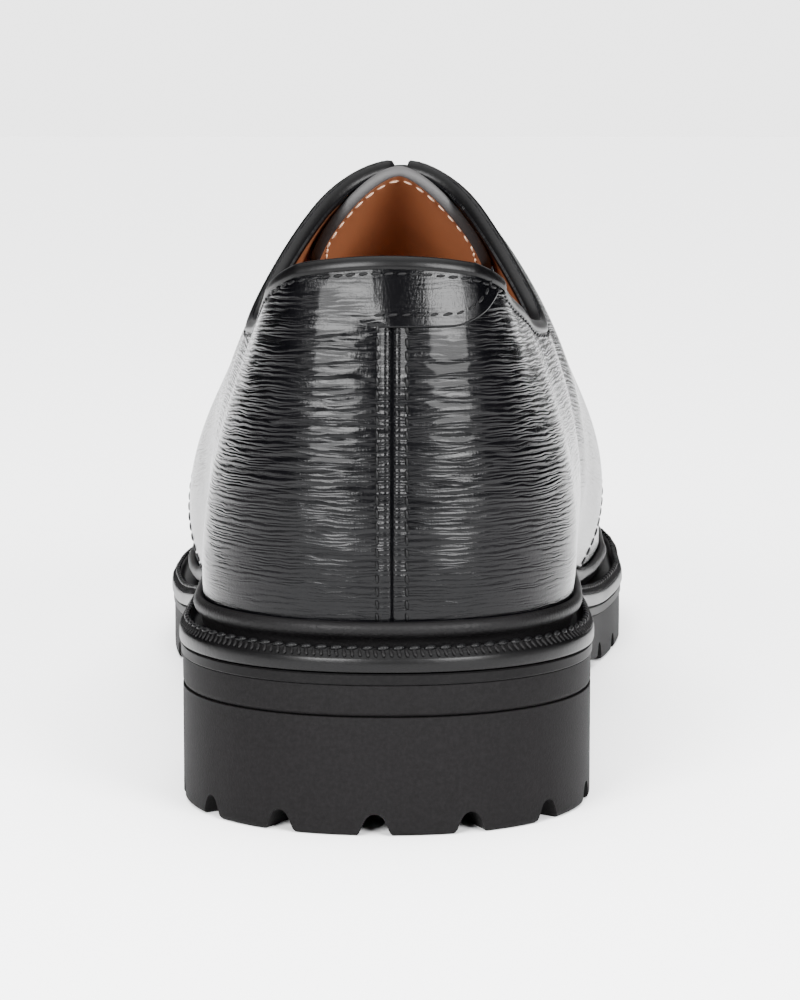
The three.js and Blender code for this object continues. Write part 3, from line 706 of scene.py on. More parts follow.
# Creases beside the back seam: walk of both ends from the seam, height over the welt, drop to the
# far end, depth
creases = {
    "lateral": [
        (-2, -19, 60.3, 0.4, 0.12), (-3, -22, 56.5, 0.8, 0.2), (-2, -18, 53.7, -0.5, 0.22),
        (-4, -23, 51.4, 0.6, 0.2), (-2, -17, 49.0, 0.2, 0.2), (-3, -24, 45.8, 1.0, 0.24),
        (-5, -21, 43.2, -0.4, 0.16), (-2, -26, 41.1, 0.9, 0.22), (-4, -19, 38.4, 0.5, 0.18),
        (-3, -27, 35.6, 1.2, 0.2), (-6, -24, 33.0, 0.6, 0.16), (-4, -30, 30.2, 1.5, 0.14),
        (-24, -44, 47.5, 1.8, 0.14), (-27, -48, 40.0, 2.2, 0.14), (-30, -50, 33.5, 2.4, 0.12),
    ],
    "medial": [
        (4, 17, 52.0, 0.4, 0.14), (5, 21, 48.6, -0.4, 0.18), (4, 19, 45.2, 0.6, 0.2),
        (6, 24, 42.4, 0.5, 0.18), (4, 20, 39.0, -0.3, 0.18), (5, 26, 36.0, 0.8, 0.2),
        (4, 22, 32.4, 0.4, 0.16), (7, 27, 29.0, 0.9, 0.14), (22, 40, 50.0, 1.6, 0.14),
        (24, 44, 43.0, 1.9, 0.14), (26, 46, 36.5, 2.1, 0.12),
    ],
}
creaseSizes = {"width": 0.6, "strength": 0.5, "lip": 0.55, "lipAway": 1.7}


def creaseRelief(walk, height, rows):
    relief = np.zeros_like(walk)
    for start, end, level, drop, depth in rows:
        share = (walk - start) / (end - start)
        line = level - drop * share + 0.35 * np.sin(share * 7 + level)
        away = np.abs(height - line) / creaseSizes["width"]
        lip = creaseSizes["lip"] * np.exp(-((away - creaseSizes["lipAway"]) ** 2))
        fade = softStep(0, 0.2, share) * softStep(1, 0.65, share)
        relief += creaseSizes["strength"] * depth * fade * (lip - np.exp(-(away**2)))
    return relief


# Quarters: two panels that meet at the back seam
quarter = {
    "wall": 2.9,             # with its lining
    "step": 1.1,             # over the vamp
    "seamSide": 1.5,
    "rows": 200,
    "fineReach": 7.0,        # fine columns beside the back seam
    "fineStep": 0.28,
    "coarseStep": 1.0,
    "gapTop": 3.8,
    "gapFoot": 9.0,
    "corner": 11.0,
    "throatRound": 9.0,
    "frontRound": 0.35,
    "topRound": 0.45,
    "calmAside": 34.0,
    "laceBehind": 8.0,
}
# The back seam: a groove between two soft ridges, and a dent along each row of stitches
backSeam = {
    "groove": (0.42, 0.3), "ridge": (0.28, 0.75), "dent": (0.12, 0.4),  # height, width
    "ridgeAside": 1.25, "dentAside": 2.65,
}
# Relief that calms down: least share, and the distances it grows between
calming = {
    "seamFoot": (0.35, 6, 30), "foot": (0.12, 9, 24), "top": (0.55, 2, 12), "seam": (0, 1.2, 3.2),
    "vampFoot": (0.1, 4, 16), "toe": (0.35, 290, 250),
}
sides = {"lateral": -1, "medial": 1}
facingTop = crest["at"][2] * shoe["length"]
facingFoot = quarterFront["y"][-1] * shoe["length"]
throatEnd = facingFoot - quarter["throatRound"]
laceFirst = facingTop + quarter["laceBehind"]


def gapHalf(y, flared=True):
    t = np.clip((y - laceFirst) / (throatEnd - laceFirst), 0, 1)
    plain = (quarter["gapTop"] + (quarter["gapFoot"] - quarter["gapTop"]) * t) / 2
    if not flared:
        return plain
    into = np.maximum(y - (facingFoot - quarter["corner"]), 0) / quarter["corner"]
    return plain + quarter["corner"] * (1 - np.sqrt(np.maximum(1 - np.minimum(into, 1) ** 2, 0)))


def topRise(walk):
    def beyond(rise):
        p = onUpper(walk, rise)
        y = p[..., 1]
        inGap = gapHalf(y) - np.abs(p[..., 0] - crestPoint(crestAt(y))[..., 0])
        return np.maximum(p[..., 2] - collarAt(y), np.where(y > facingTop - quarter["corner"], inGap, -1))

    return solve(beyond, np.zeros_like(walk), np.full_like(walk, 0.999))


def frontMiss(side, walk, rise):
    p = onUpper(side * walk, rise)
    up = (p[..., 2] - weltTop(p[..., 1])) / shoe["instepRise"]
    return p[..., 1] - shoe["length"] * readCurve(quarterFront, "y", up)


def frontEdge(side, count):
    # The quarter's front edge, from the welt up to where the facing's edge meets it
    rise = np.linspace(0, 0.995, 400)
    walk = solve(lambda w: frontMiss(side, w, rise), np.full_like(rise, 60.0), np.full_like(rise, 230.0))
    p = onUpper(side * walk, rise)
    room = np.abs(p[:, 0] - crestPoint(crestAt(p[:, 1]))[:, 0]) - gapHalf(np.full(400, facingFoot))
    end = np.argmax(room < 0)
    share = room[end - 1] / (room[end - 1] - room[end])
    topRiseHere = rise[end - 1] + share * (rise[end] - rise[end - 1])
    goal = np.linspace(0, topRiseHere, count)
    return side * np.interp(goal, rise, walk), goal


def quarterColumns(length):
    fine = np.arange(0, quarter["fineReach"], quarter["fineStep"])
    count = int((length - quarter["fineReach"]) / quarter["coarseStep"])
    coarse = np.linspace(quarter["fineReach"], length, count)
    return np.concatenate([fine, coarse]) / length


def quarterDomain(side):
    # Walks and rises of a quarter's grid: rows from the welt up, columns from the back seam on
    rows = quarter["rows"]
    seam = quarter["seamSide"]
    frontWalk, frontRise = frontEdge(side, rows)
    reach = abs(frontWalk[-1] - seam)
    share = quarterColumns(reach)
    topWalk = seam + (frontWalk[-1] - seam) * share
    topRises = topRise(topWalk)
    topRises[-1] = frontRise[-1]
    footWalk = seam + (frontWalk[0] - seam) * share
    v = np.linspace(0, 1, rows)[:, None]
    s = share[None, :]
    backWalk, backRise = np.full(rows, seam), np.linspace(0, topRises[0], rows)

    def patch(foot, top, back, front):
        edges = (1 - v) * foot[None, :] + v * top[None, :] + (1 - s) * back[:, None] + s * front[:, None]
        corners = (1 - v) * ((1 - s) * foot[0] + s * foot[-1]) + v * ((1 - s) * top[0] + s * top[-1])
        return edges - corners

    walk = patch(footWalk, topWalk, backWalk, frontWalk)
    rise = patch(0 * footWalk, topRises, backRise, frontRise)
    return walk, rise


def rolled(edge, outward, normals, radius, depth):
    # Rows that round a cut edge off and take it down into the wall
    rows = []
    for a in (22.5, 45, 67.5, 90):
        s, c = math.sin(math.radians(a)), math.cos(math.radians(a))
        rows.append(edge + outward * radius * s - normals * radius * (1 - c))
    rows.append(edge + outward * radius - normals * depth)
    return rows


def outwardOf(edge, before, normals):
    tangent = unit(np.gradient(edge, axis=0))
    outward = unit(np.cross(tangent, normals))
    sign = np.sign(((edge - before) * outward).sum(-1, keepdims=True))
    return outward * np.where(sign == 0, 1, sign)


def calmed(name, distance):
    least, low, high = calming[name]
    return least + (1 - least) * softStep(low, high, distance)


def bump(name, away):
    height, width = backSeam[name]
    return height * np.exp(-((away / width) ** 2))


def seamRelief(away, height):
    ridge = calmed("seamFoot", height) * bump("ridge", np.abs(away) - backSeam["ridgeAside"])
    return ridge - bump("groove", away) - bump("dent", np.abs(away) - backSeam["dentAside"])


def quarterRelief(part, walk, height, fromTop):
    away = walk - quarter["seamSide"]
    strength = calmed("foot", height) * calmed("top", fromTop) * calmed("seam", np.abs(away))
    strength = strength * (0.6 + 0.4 * np.exp(-((away / quarter["calmAside"]) ** 2)))
    relief = wrinkles(walk, height) + creaseRelief(away, height, creases[part])
    return relief * strength + seamRelief(away, height)


edges = {}


def quarterPanel(part, side):
    walk, rise = quarterDomain(side)
    bare, normals = onUpper(walk, rise), upperNormal(walk, rise)
    climbed = np.linalg.norm(np.diff(bare, axis=0), axis=-1)
    height = np.concatenate([0 * walk[:1], np.cumsum(climbed, axis=0)])
    places = np.stack([walk, height], axis=-1)
    points = bare + normals * quarterRelief(part, walk, height, height[-1:] - height)[..., None]
    edges[part] = {"walk": walk, "rise": rise, "points": points, "height": height}
    # Front edge, rolled down to the vamp
    outward = outwardOf(points[:, -1], points[:, -2], normals[:, -1])
    for row in rolled(points[:, -1], outward, normals[:, -1], quarter["frontRound"], quarter["step"] + 0.1):
        points = np.concatenate([points, row[:, None]], axis=1)
        places = np.concatenate([places, places[:, -1:] + [side * 0.3, 0]], axis=1)
        normals = np.concatenate([normals, normals[:, -1:]], axis=1)
    # Collar and facing edge, rolled down to the lining
    outward = outwardOf(points[-1], points[-2], normals[-1])
    for row in rolled(points[-1], outward, normals[-1], quarter["topRound"], quarter["wall"]):
        points = np.concatenate([points, row[None]])
        places = np.concatenate([places, places[-1:] + [0, 0.3]])
    return sheetPiece("quarter_" + part, points, places, flip=side < 0, angle=60)


for part, side in sides.items():
    finishPiece(quarterPanel(part, side), blackLeather, "black_leather", "upper")
print("stage: quarters")


# Vamp, under the quarters' front edges and closed over the toe
vamp = {"overlap": 9.0, "columns": 150, "rows": 110, "toeEnd": 0.4999}


def vampPanel(name, offset, flip, relieved):
    v = np.linspace(0, 1, vamp["rows"])
    share = np.linspace(0, 1, vamp["columns"])
    turns = []
    for side in (-1, 1):
        def short(walk):
            return frontMiss(side, walk, np.minimum(v, 0.995)) + vamp["overlap"]

        walk = solve(short, np.full_like(v, 40.0), np.full_like(v, 230.0))
        back = np.abs(turnOf(side * walk, v))[:, None]
        turns.append(side * (back * (1 - share) + vamp["toeEnd"] * share))
    turn = np.concatenate([turns[0], turns[1][::-1][1:]])
    rise = np.concatenate([v, v[::-1][1:]])[:, None] + 0 * share
    bare, normals = lastPoint(turn, rise), lastNormal(turn, rise)
    y = bare[..., 1]
    crown = crestPoint(np.minimum(y, crest["at"][-1] * shoe["length"]))
    aside, depth = bare[..., 0] - crown[..., 0], crown[..., 2] - bare[..., 2]
    across = aside * (1 + depth / (np.abs(aside) + 12))
    ahead = y + softStep(235, 275, y) * (depth + 4)
    points = bare + normals * offset
    if relieved:
        strength = calmed("vampFoot", bare[..., 2] - weltTop(y)) * calmed("toe", y)
        points = points + normals * (wrinkles(across, ahead) * strength)[..., None]
    return sheetPiece(name, points, np.stack([across, ahead], axis=-1), flip=flip, angle=70)


finishPiece(vampPanel("vamp", -quarter["step"], True, True), blackLeather, "black_leather", "upper")
finishPiece(vampPanel("vamp_lining", -quarter["wall"], False, False), tanLeather, "tan_leather")
print("stage: vamp")


def quarterLining(part, side):
    rows = list(range(0, quarter["rows"], 4)) + [quarter["rows"] - 1]
    walk, rise = (edges[part][key][rows][:, ::3] for key in ("walk", "rise"))
    return sheetPiece("lining_" + part, onUpper(walk, rise, -quarter["wall"]), flip=side > 0, angle=70)


for part, side in sides.items():
    finishPiece(quarterLining(part, side), tanLeather, "tan_leather")
print("stage: linings")


# Dog tail: the outer quarter's end, lapped over the back seam
tail = {
    "reach": 19.0, "drop": 13.2, "corner": 9.0, "step": 0.8, "rampLow": 3.5, "rampTop": 16.0, "grain": 0.3,
}
tailRight = quarter["seamSide"] + tail["reach"]
tailBase = float(collarAt(0.0)) - tail["drop"]
heelTop = float(weltTop(0.0))


def onBack(x, z):
    # Walk and rise of the place on the heel's back at that x and height
    walk, rise = x * 1.02, np.clip((z - heelTop) / 130, 0.05, 0.9)
    for _ in range(14):
        here = onUpper(walk, rise)
        a = (onUpper(walk + 0.05, rise) - here)[..., [0, 2]] / 0.05
        b = (onUpper(walk, rise + 0.0005) - here)[..., [0, 2]] / 0.0005
        missX, missZ = x - here[..., 0], z - here[..., 2]
        det = a[..., 0] * b[..., 1] - a[..., 1] * b[..., 0]
        walk = walk + np.clip((missX * b[..., 1] - missZ * b[..., 0]) / det, -4, 4)
        rise = np.clip(rise + (missZ * a[..., 0] - missX * a[..., 1]) / det, 0.01, 0.9)
    return walk, rise


def topAt(x):
    # Height of the collar at that x on the heel's back
    z = np.full_like(x, float(collarAt(8.0)) - 6)
    for _ in range(14):
        walk, rise = onBack(x, z)
        z = 0.5 * (z + collarAt(onUpper(walk, rise)[..., 1]))
    return z


def tailLow(x):
    into = np.clip((x - (tailRight - tail["corner"])) / tail["corner"], 0, 1)
    return tailBase + tail["corner"] * (1 - np.sqrt(1 - into**2))


def tailLift(x, share=1.0):
    # Soft rise onto the dog tail, longer towards the collar
    ramp = tail["rampLow"] + (tail["rampTop"] - tail["rampLow"]) * np.sqrt(share)
    return tail["step"] * softStep(0, 1, (x - quarter["seamSide"] + ramp) / ramp)


def dogTail():
    bend = tailRight - tail["corner"]
    tried = np.linspace(bend, tailRight, 40)
    clear = topAt(tried) - tailLow(tried) > 0.05
    turn = math.asin((tried[clear][-1] - bend) / tail["corner"])
    xs = np.concatenate([
        np.linspace(quarter["seamSide"] - tail["rampTop"], bend, 90)[:-1],
        bend + tail["corner"] * np.sin(np.linspace(0, turn, 40)),
    ])
    v = np.linspace(0, 1, 50)[:, None]
    low, high = tailLow(xs), topAt(xs)
    z = low + (high - low) * v
    x = np.broadcast_to(xs, z.shape)
    walk, rise = onBack(x, z)
    bare, normals = onUpper(walk, rise), upperNormal(walk, rise)
    beside = edges["lateral"]
    height = np.interp(z, beside["points"][:, 4, 2], beside["height"][:, 4])
    soften = softStep(xs[0], quarter["seamSide"], x)
    relief = (1 - soften) * quarterRelief("lateral", walk, height, high - z)
    relief = relief + soften * tail["grain"] * wrinkles(walk, height)
    points = bare + normals * (relief + tailLift(x, v) + 0.02)[..., None]
    places = np.stack([walk, height], axis=-1)
    outward = outwardOf(points[0], points[-1] + normals[0] * 0.01, normals[0])
    fade = tailLift(xs, 0)[:, None] / tail["step"]
    rolls = rolled(points[0], outward, normals[0] * fade, 0.3, tail["step"] + 0.15)
    points = np.concatenate([r[None] for r in rolls[::-1]] + [points], axis=0)
    places = np.concatenate([places[:1]] * len(rolls) + [places], axis=0)
    piece = sheetPiece("dog_tail", points, places, angle=60)
    plain = np.concatenate([soften[:1]] * len(rolls) + [soften], axis=0)
    piece.data.attributes.new("plainGrain", "FLOAT", "POINT").data.foreach_set("value", 0.75 * plain.ravel())
    return piece


finishPiece(dogTail(), blackLeather, "black_leather", "upper")


# Bound edge of the collar: a lip over the wall's top
binding = {
    "stitchBelow": 3.0,
    "past": 1.5,             # beyond the facing's top
    "columns": 460,
    "profile": [  # out from the quarter's face, up from the wall's top
        (-0.05, -2.3), (0.22, -2.15), (0.4, -1.6), (0.44, -0.9), (0.3, -0.2), (-0.1, 0.3), (-0.75, 0.56),
        (-1.45, 0.62), (-2.15, 0.56), (-2.8, 0.3), (-3.15, -0.2), (-3.25, -0.9), (-3.2, -1.9), (-2.85, -2.2),
    ],
}


def collarLine():
    # Walks, rises, points, normals and outward directions, from one facing's top to the other's
    lines = []
    for key in ("walk", "rise"):
        halves = []
        for part, order in sides.items():
            keep = edges[part]["points"][-1, :, 1] < facingTop + binding["past"]
            halves.append(edges[part][key][-1][keep][::order])
        line = np.concatenate([halves[0][:-1], halves[1]])
        lines.append(np.interp(np.linspace(0, len(line) - 1, binding["columns"]), np.arange(len(line)), line))
    walk, rise = lines
    points, normals = onUpper(walk, rise), upperNormal(walk, rise)
    return walk, rise, points, normals, outwardOf(points, onUpper(walk, rise - 0.01), normals)


def collarLift(points):
    x, y = points[..., 0], points[..., 1]
    return np.where(y < shoe["heelRound"], tailLift(x) * softStep(tailRight + 0.7, tailRight, x), 0)


collarWalk, collarRise, collarPoints, collarNormals, collarOut = collarLine()


def collarBinding():
    lift = collarLift(collarPoints)
    loops = []
    for k, (n, u) in enumerate(binding["profile"]):
        raised = lift if k < 6 else lift * 0
        loops.append(collarPoints + collarNormals * (n + raised)[:, None] + collarOut * u)
    steps = np.linalg.norm(np.diff(collarPoints, axis=0), axis=1)
    away = np.concatenate([[0], np.cumsum(steps)])[None, :]
    places = vectors(away, 0.8 * np.arange(len(loops))[:, None])
    return sheetPiece("collar_binding", np.stack(loops), places, flip=True, angle=80)


finishPiece(collarBinding(), edgeLeather, "edge_leather")
print("stage: collar")


# Stitches of the upper
seams = {
    "tailInside": 1.9,
    "frontInside": (2.0, 4.0),
    # Aside, below the tail, over the welt
    "back": [(-2.65, 0.3, 4), (2.65, 0.6, 4), (-0.95, 0.3, 38), (0.9, 0.8, 38)],
    "backCount": 90,
    "lift": 0.06,
}


def shifted(walk, rise, points, outward, inside, lift):
    # Path a distance inside an edge, back on the upper's face
    w, r = nearest(points - outward * inside, walk, rise)
    normals = upperNormal(w, r)
    return onUpper(w, r) + normals * np.expand_dims(lift, -1), normals


def frontLine(part, side):
    # A quarter's front edge from the welt up, and on along the facing's edge to the collar
    panel = edges[part]
    keep = panel["points"][-1, :, 1] > facingTop
    lines = (panel["walk"], panel["rise"])
    walk, rise = (np.concatenate([line[4:, -1], line[-1][keep][::-1][1:]]) for line in lines)
    points, normals = onUpper(walk, rise), upperNormal(walk, rise)
    tangent = unit(np.gradient(points, axis=0))
    return walk, rise, points, unit(np.cross(tangent, normals)) * side


def onBackPath(x, z, lift):
    walk, rise = onBack(x, z)
    return onUpper(walk, rise, lift), upperNormal(walk, rise)


def upperStitches():
    lift = collarLift(collarPoints) + seams["lift"]
    paths = [shifted(collarWalk, collarRise, collarPoints, collarOut, binding["stitchBelow"], lift)]
    inside, corner = seams["tailInside"], tail["corner"]
    bend, radius = tailRight - corner, corner - inside
    angles = np.linspace(-math.pi / 2, 0, 24)
    x = np.concatenate([np.linspace(-0.8, bend, 30)[:-1], bend + radius * np.cos(angles)])
    z = np.concatenate([np.full(29, tailBase + inside), tailBase + corner + radius * np.sin(angles)])
    paths.append(onBackPath(x, z, tailLift(x, 0.15) + seams["lift"]))
    count = seams["backCount"]
    for aside, below, over in seams["back"]:
        z = np.linspace(tailBase - below, heelTop + over, count)
        paths.append(onBackPath(np.full(count, quarter["seamSide"] + aside), z, 0.02))
    stitchPiece("stitches_back", paths, seamStitch, blackThread)
    rows = []
    for part, side in sides.items():
        walk, rise, points, outward = frontLine(part, side)
        rows += [shifted(walk, rise, points, outward, inside, 0.05) for inside in seams["frontInside"]]
    stitchPiece("stitches_front", rows, seamStitch, blackThread)


upperStitches()
print("stage: stitches of the upper")


# Instep: a place on it is a length along the shoe and a distance round from the crest
def instepPlace(y, across):
    rises = np.linspace(1, 0.02, 240)
    turn = np.where(across > 0, turnAt(y), -turnAt(y))
    line = lastPoint(turn[..., None], np.broadcast_to(rises, turn.shape + rises.shape))
    steps = np.linalg.norm(np.diff(line, axis=-2), axis=-1)
    climbed = np.concatenate([0 * steps[..., :1], np.cumsum(steps, axis=-1)], axis=-1)
    flat = climbed.reshape(-1, len(rises))
    found = [np.interp(abs(a), c, rises) for a, c in zip(np.ravel(across), flat)]
    return turn, np.array(found).reshape(turn.shape)


tongue = {
    "thickness": 2.2, "show": 5.0, "hold": 11.0, "reach": 27.0, "corner": 10.0, "fall": 0.7,
    "clear": 0.3, "columns": 80, "rows": 70, "stitchInside": 2.8, "grain": 0.35, "edgeRound": 0.45,
    "stitch": {"Pitch": 2.9, "Length": 2.2, "Width": 0.7, "Height": 0.5, "Slant": 0.1},
}


def tonguePlace(side, forward, depth):
    start, root = facingTop - tongue["show"], throatEnd + tongue["hold"]
    y = start + tongue["corner"] * np.abs(side) ** 5 * (1 - forward) ** 2 + (root - start) * forward
    turn, rise = instepPlace(y, side * tongue["reach"] + 1e-6)
    fall = tongue["fall"] * side * side * (1 - forward)
    normals = lastNormal(turn, rise)
    inward = -quarter["wall"] - tongue["clear"] - fall - depth
    return lastPoint(turn, rise) + normals * np.expand_dims(inward, -1), normals, y


def tonguePiece():
    side = np.linspace(-1, 1, tongue["columns"])[None, :]
    forward = np.linspace(0, 1, tongue["rows"])[:, None] ** 1.2
    side, forward = np.broadcast_arrays(side, forward)
    top, normals, y = tonguePlace(side, forward, 0.0)
    top = top + normals * (tongue["grain"] * wrinkles(side * tongue["reach"], y))[..., None]
    under = tonguePlace(side, forward, tongue["thickness"])[0]
    rows, columns = side.shape
    ring = [(0, i) for i in range(columns)] + [(j, columns - 1) for j in range(1, rows)]
    ring += [(rows - 1, i) for i in range(columns - 2, -1, -1)] + [(j, 0) for j in range(rows - 2, 0, -1)]
    j, i = np.array(ring).T
    outline = top[j, i]
    tangent = unit(np.roll(outline, -1, axis=0) - np.roll(outline, 1, axis=0))
    outward = unit(np.cross(tangent, normals[j, i]))
    middle = top[rows // 2, columns // 2]
    outward *= np.sign(((outline - middle) * outward).sum(-1, keepdims=True))
    loops = []
    for depth in (0.12, 0.4, 0.8, 1.4, 1.8, 2.08):
        t = depth / tongue["thickness"]
        bulge = tongue["edgeRound"] * math.sqrt(math.sin(math.pi * t))
        loops.append(outline - normals[j, i] * depth + outward * bulge)
    count, n = rows * columns, len(ring)
    points = np.concatenate([top.reshape(-1, 3), under.reshape(-1, 3)] + loops)
    faces = gridFaces(rows, columns, flip=True)
    parts = [0] * len(faces) + [2] * len(faces)
    faces += [[v + count for v in face[::-1]] for face in faces]
    levels = [list(j * columns + i)] + [list(2 * count + k * n + np.arange(n)) for k in range(len(loops))]
    levels.append(list(count + j * columns + i))
    for upper, lower in zip(levels, levels[1:]):
        for k in range(n):
            after = (k + 1) % n
            faces.append([int(upper[k]), int(lower[k]), int(lower[after]), int(upper[after])])
            parts.append(1)
    piece = smoothMesh("tongue_leather", points, faces, 60)
    places = vectors(side * tongue["reach"], y).reshape(-1, 2)
    writeMap(piece, np.concatenate([places, places, np.zeros((len(points) - 2 * count, 2))]))
    for material in (blackLeather, cutEdge, tanLeather):
        piece.data.materials.append(material)
    piece.data.polygons.foreach_set("material_index", parts)
    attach(piece, "root")
    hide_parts("tongue")


tonguePiece()


def tongueStitches():
    edge = 1 - tongue["stitchInside"] / tongue["reach"]
    share = np.concatenate([np.full(40, -edge), np.linspace(-edge, edge, 90), np.full(40, edge)])
    forward = np.concatenate([np.linspace(0.8, 0.05, 40), np.full(90, 0.04), np.linspace(0.05, 0.8, 40)])
    for name, depth, thread in (
        ("stitches_tongue_lining", tongue["thickness"] + 0.05, paleThread),
        ("stitches_tongue", -0.05, blackThread),
    ):
        points, normals, _ = tonguePlace(share, forward, depth)
        stitchPiece(name, [(points, normals)], tongue["stitch"], thread)


tongueStitches()
print("stage: tongue")


# Sole: rings stacked upwards, closed from side to side
stations = 720
stationTurns = np.arange(stations) / stations


def ring(inset, height):
    p = insetPoint(stationTurns, inset)
    return vectors(p[:, 0], p[:, 1], height(p[:, 1]))


def above(height, rise):
    return lambda y: height(y) + rise


def lapFaces(first, count, flip):
    faces = []
    for i in range(count // 2):
        corners = [i, i + 1, count - i - 1, (count - i) % count]
        face = list(dict.fromkeys(corners))
        if len(face) > 2:
            faces.append([first + v for v in (face[::-1] if flip else face)])
    return faces


def stacked(name, rings, angle=35.0):
    faces = gridFaces(len(rings), stations, closed=True)
    faces += lapFaces(0, stations, True) + lapFaces((len(rings) - 1) * stations, stations, False)
    return smoothMesh(name, np.concatenate(rings), faces, angle)


# A piece swept round the sole, from closed loops
def swept(name, loops, angle):
    faces = gridFaces(len(loops), stations, closed=True, looped=True)
    piece = smoothMesh(name, np.concatenate(loops), faces, angle)
    mapByLength(piece)
    return piece


def mapByLength(piece):
    # UV map by the length round the outline and the height, for what is swept round the sole
    p = np.array([v.co for v in piece.data.vertices]) * 1000
    angle = np.arctan2(p[:, 0], p[:, 1] - shoe["length"] * 0.38)
    writeMap(piece, np.stack([angle * 100, p[:, 2]], axis=-1))


welt = {
    "flange": [  # inset from the edge, height over the midsole's top
        (9.0, 0.15), (0.5, 0.15), (0.12, 0.3), (0.0, 0.7), (-0.02, 1.6), (0.02, 2.5), (0.2, 2.9), (0.45, 3.1),
        (0.7, 3.6), (1.0, 4.1), (1.5, 4.45), (2.0, 4.3), (2.4, 3.7), (2.7, 3.15), (3.2, 3.0), (9.0, 3.0),
    ],
    "bead": [  # out from the upper, height over the welt
        (0.1, 0.6), (0.75, 0.4), (0.8, 1.8), (0.9, 2.5), (1.35, 2.85), (1.8, 3.35), (2.0, 4.1), (1.9, 4.85),
        (1.5, 5.45), (1.0, 5.75), (0.5, 5.75), (0.1, 5.4),
    ],
    "stitches": {
        "inset": 1.45, "height": 4.5, "upward": 2.0,
        "Pitch": 2.8, "Length": 2.5, "Width": 1.15, "Height": 0.95, "Slant": 0.2,
    },
    "wheelMarks": {
        "inset": 0.75, "height": 3.75, "upward": 0.9,
        "Pitch": 1.4, "Length": 0.75, "Width": 1.9, "Height": 0.5, "Slant": 0.25,
    },
    "pathPoints": 1400,
}


def weltFlange():
    loops = [ring(inset, above(midsoleTop, height)) for inset, height in welt["flange"]]
    finishPiece(swept("welt_flange", loops, 50), edgeLeather, "edge_leather", "welt")


def weltBead():
    y = lengthAt(stationTurns)
    frontY = shoe["length"] * quarterFront["y"][1]
    step = quarter["step"] * softStep(frontY, frontY + 3, y)
    loops = []
    for out, height in welt["bead"]:
        goal = weltTop(y) + height
        rise = solve(lambda r: lastPoint(stationTurns, r)[:, 2] - goal, 0 * y, 0 * y + 0.5)
        level = lastNormal(stationTurns, rise) * [1, 1, 0]
        p = lastPoint(stationTurns, rise) + level * ((out - step) / (level**2).sum(-1))[:, None]
        loops.append(vectors(p[:, 0], p[:, 1], goal))
    finishPiece(swept("welt_bead", loops, 60), ribLeather, "edge_leather", "welt")


def weltRow(name, row, material):
    turn = np.linspace(0, 1, welt["pathPoints"]) % 1
    p, out = insetPoint(turn, row["inset"]), edgeNormal(turn)
    path = vectors(p[:, 0], p[:, 1], midsoleTop(p[:, 1]) + row["height"])
    stitchPiece(name, [(path, unit(vectors(out[:, 0], out[:, 1], row["upward"])))], row, material)


def midsolePiece():
    low, high = above(outsoleTop, 0.1), above(midsoleTop, -0.1)
    rings = [
        ring(1.2, low), ring(0.5, low), ring(0.35, above(outsoleTop, 0.3)),
        ring(0.35, above(midsoleTop, -0.35)), ring(0.55, high), ring(1.4, high),
    ]
    piece = stacked("midsole_strip", rings)
    mapByLength(piece)
    finishPiece(piece, midsoleRubber, "edge_leather", "midsole")


weltFlange()
weltBead()
weltRow("stitches_welt", welt["stitches"], blackThread)
weltRow("wheel_marks_welt", welt["wheelMarks"], ribLeather)
midsolePiece()
print("stage: welt")

# Rubber sole and heel
tread = {
    "lugDepth": 4.0, "lugBand": 15.0, "notchPitch": 18.0, "notchStart": 0.9, "notchReach": 17.0,
    "notch": [(3.9, -1.0), (3.3, -0.02), (2.85, 0.45), (1.95, 2.5), (1.5, 3.3), (0.85, 3.85), (0.0, 4.05)],
    "crossSpan": 22.0, "crossArm": 8.0, "crossPitch": 27.0, "crossColumns": 32.0, "crossRoom": 2.0,
    "start": 0.47, "edgeRound": 1.0, "notchClear": 5.6, "cutterReach": 400.0,
}
treadStart = tread["start"] * shoe["length"]


def notchTurns(low, high):
    turns = np.linspace(0, 1, 2001)
    steps = np.linalg.norm(np.diff(edgePoint(turns % 1), axis=0), axis=1)
    gone = np.concatenate([[0], np.cumsum(steps)])
    count = round(gone[-1] / tread["notchPitch"])
    pitch = gone[-1] / count
    found = [turns[np.argmax(gone >= (k + tread["notchStart"]) * pitch)] for k in range(count)]
    return [t for t in found if low < float(lengthAt(t)) < high]


# Ends and walls of a prism, whose outline of n corners stands at some levels
def prismFaces(n, levels=2):
    faces = [list(range(n)), list(range(levels * n - 1, (levels - 1) * n - 1, -1))]
    for first in range(0, (levels - 1) * n, n):
        faces += [[first + (k + 1) % n, first + k, first + n + k, first + n + (k + 1) % n] for k in range(n)]
    return faces


def notchShape(turn, onGround):
    right = tread["notch"]
    outline = [(-u, v) for u, v in right] + [(u, v) for u, v in right[-2::-1]]
    out = edgeNormal(turn)
    inward = np.array([-out[0], -out[1], 0])
    sideways = np.cross([0, 0, 1], inward)
    base = np.append(insetPoint(turn, -1.0), 0)
    points = []
    for reach in (0, tread["notchReach"]):
        for u, v in outline:
            p = base + sideways * u + inward * reach
            points.append([p[0], p[1], v + (0 if onGround else float(treadAt(p[1])))])
    return points, prismFaces(len(outline))


def crossShape(x, y, low, high):
    a, s = tread["crossArm"] / 2, tread["crossSpan"] / 2
    corner = [(s, -a), (s, a), (a, a)]
    outline = []
    for _ in range(4):
        outline += corner
        corner = [(-v, u) for u, v in corner]
    points = []
    for shrink, height in ((1.0, high), (1.0, low + 0.6), (0.955, low)):
        points += [(x + u * shrink, y + v * shrink, height) for u, v in outline]
    return points, prismFaces(len(outline), 3)


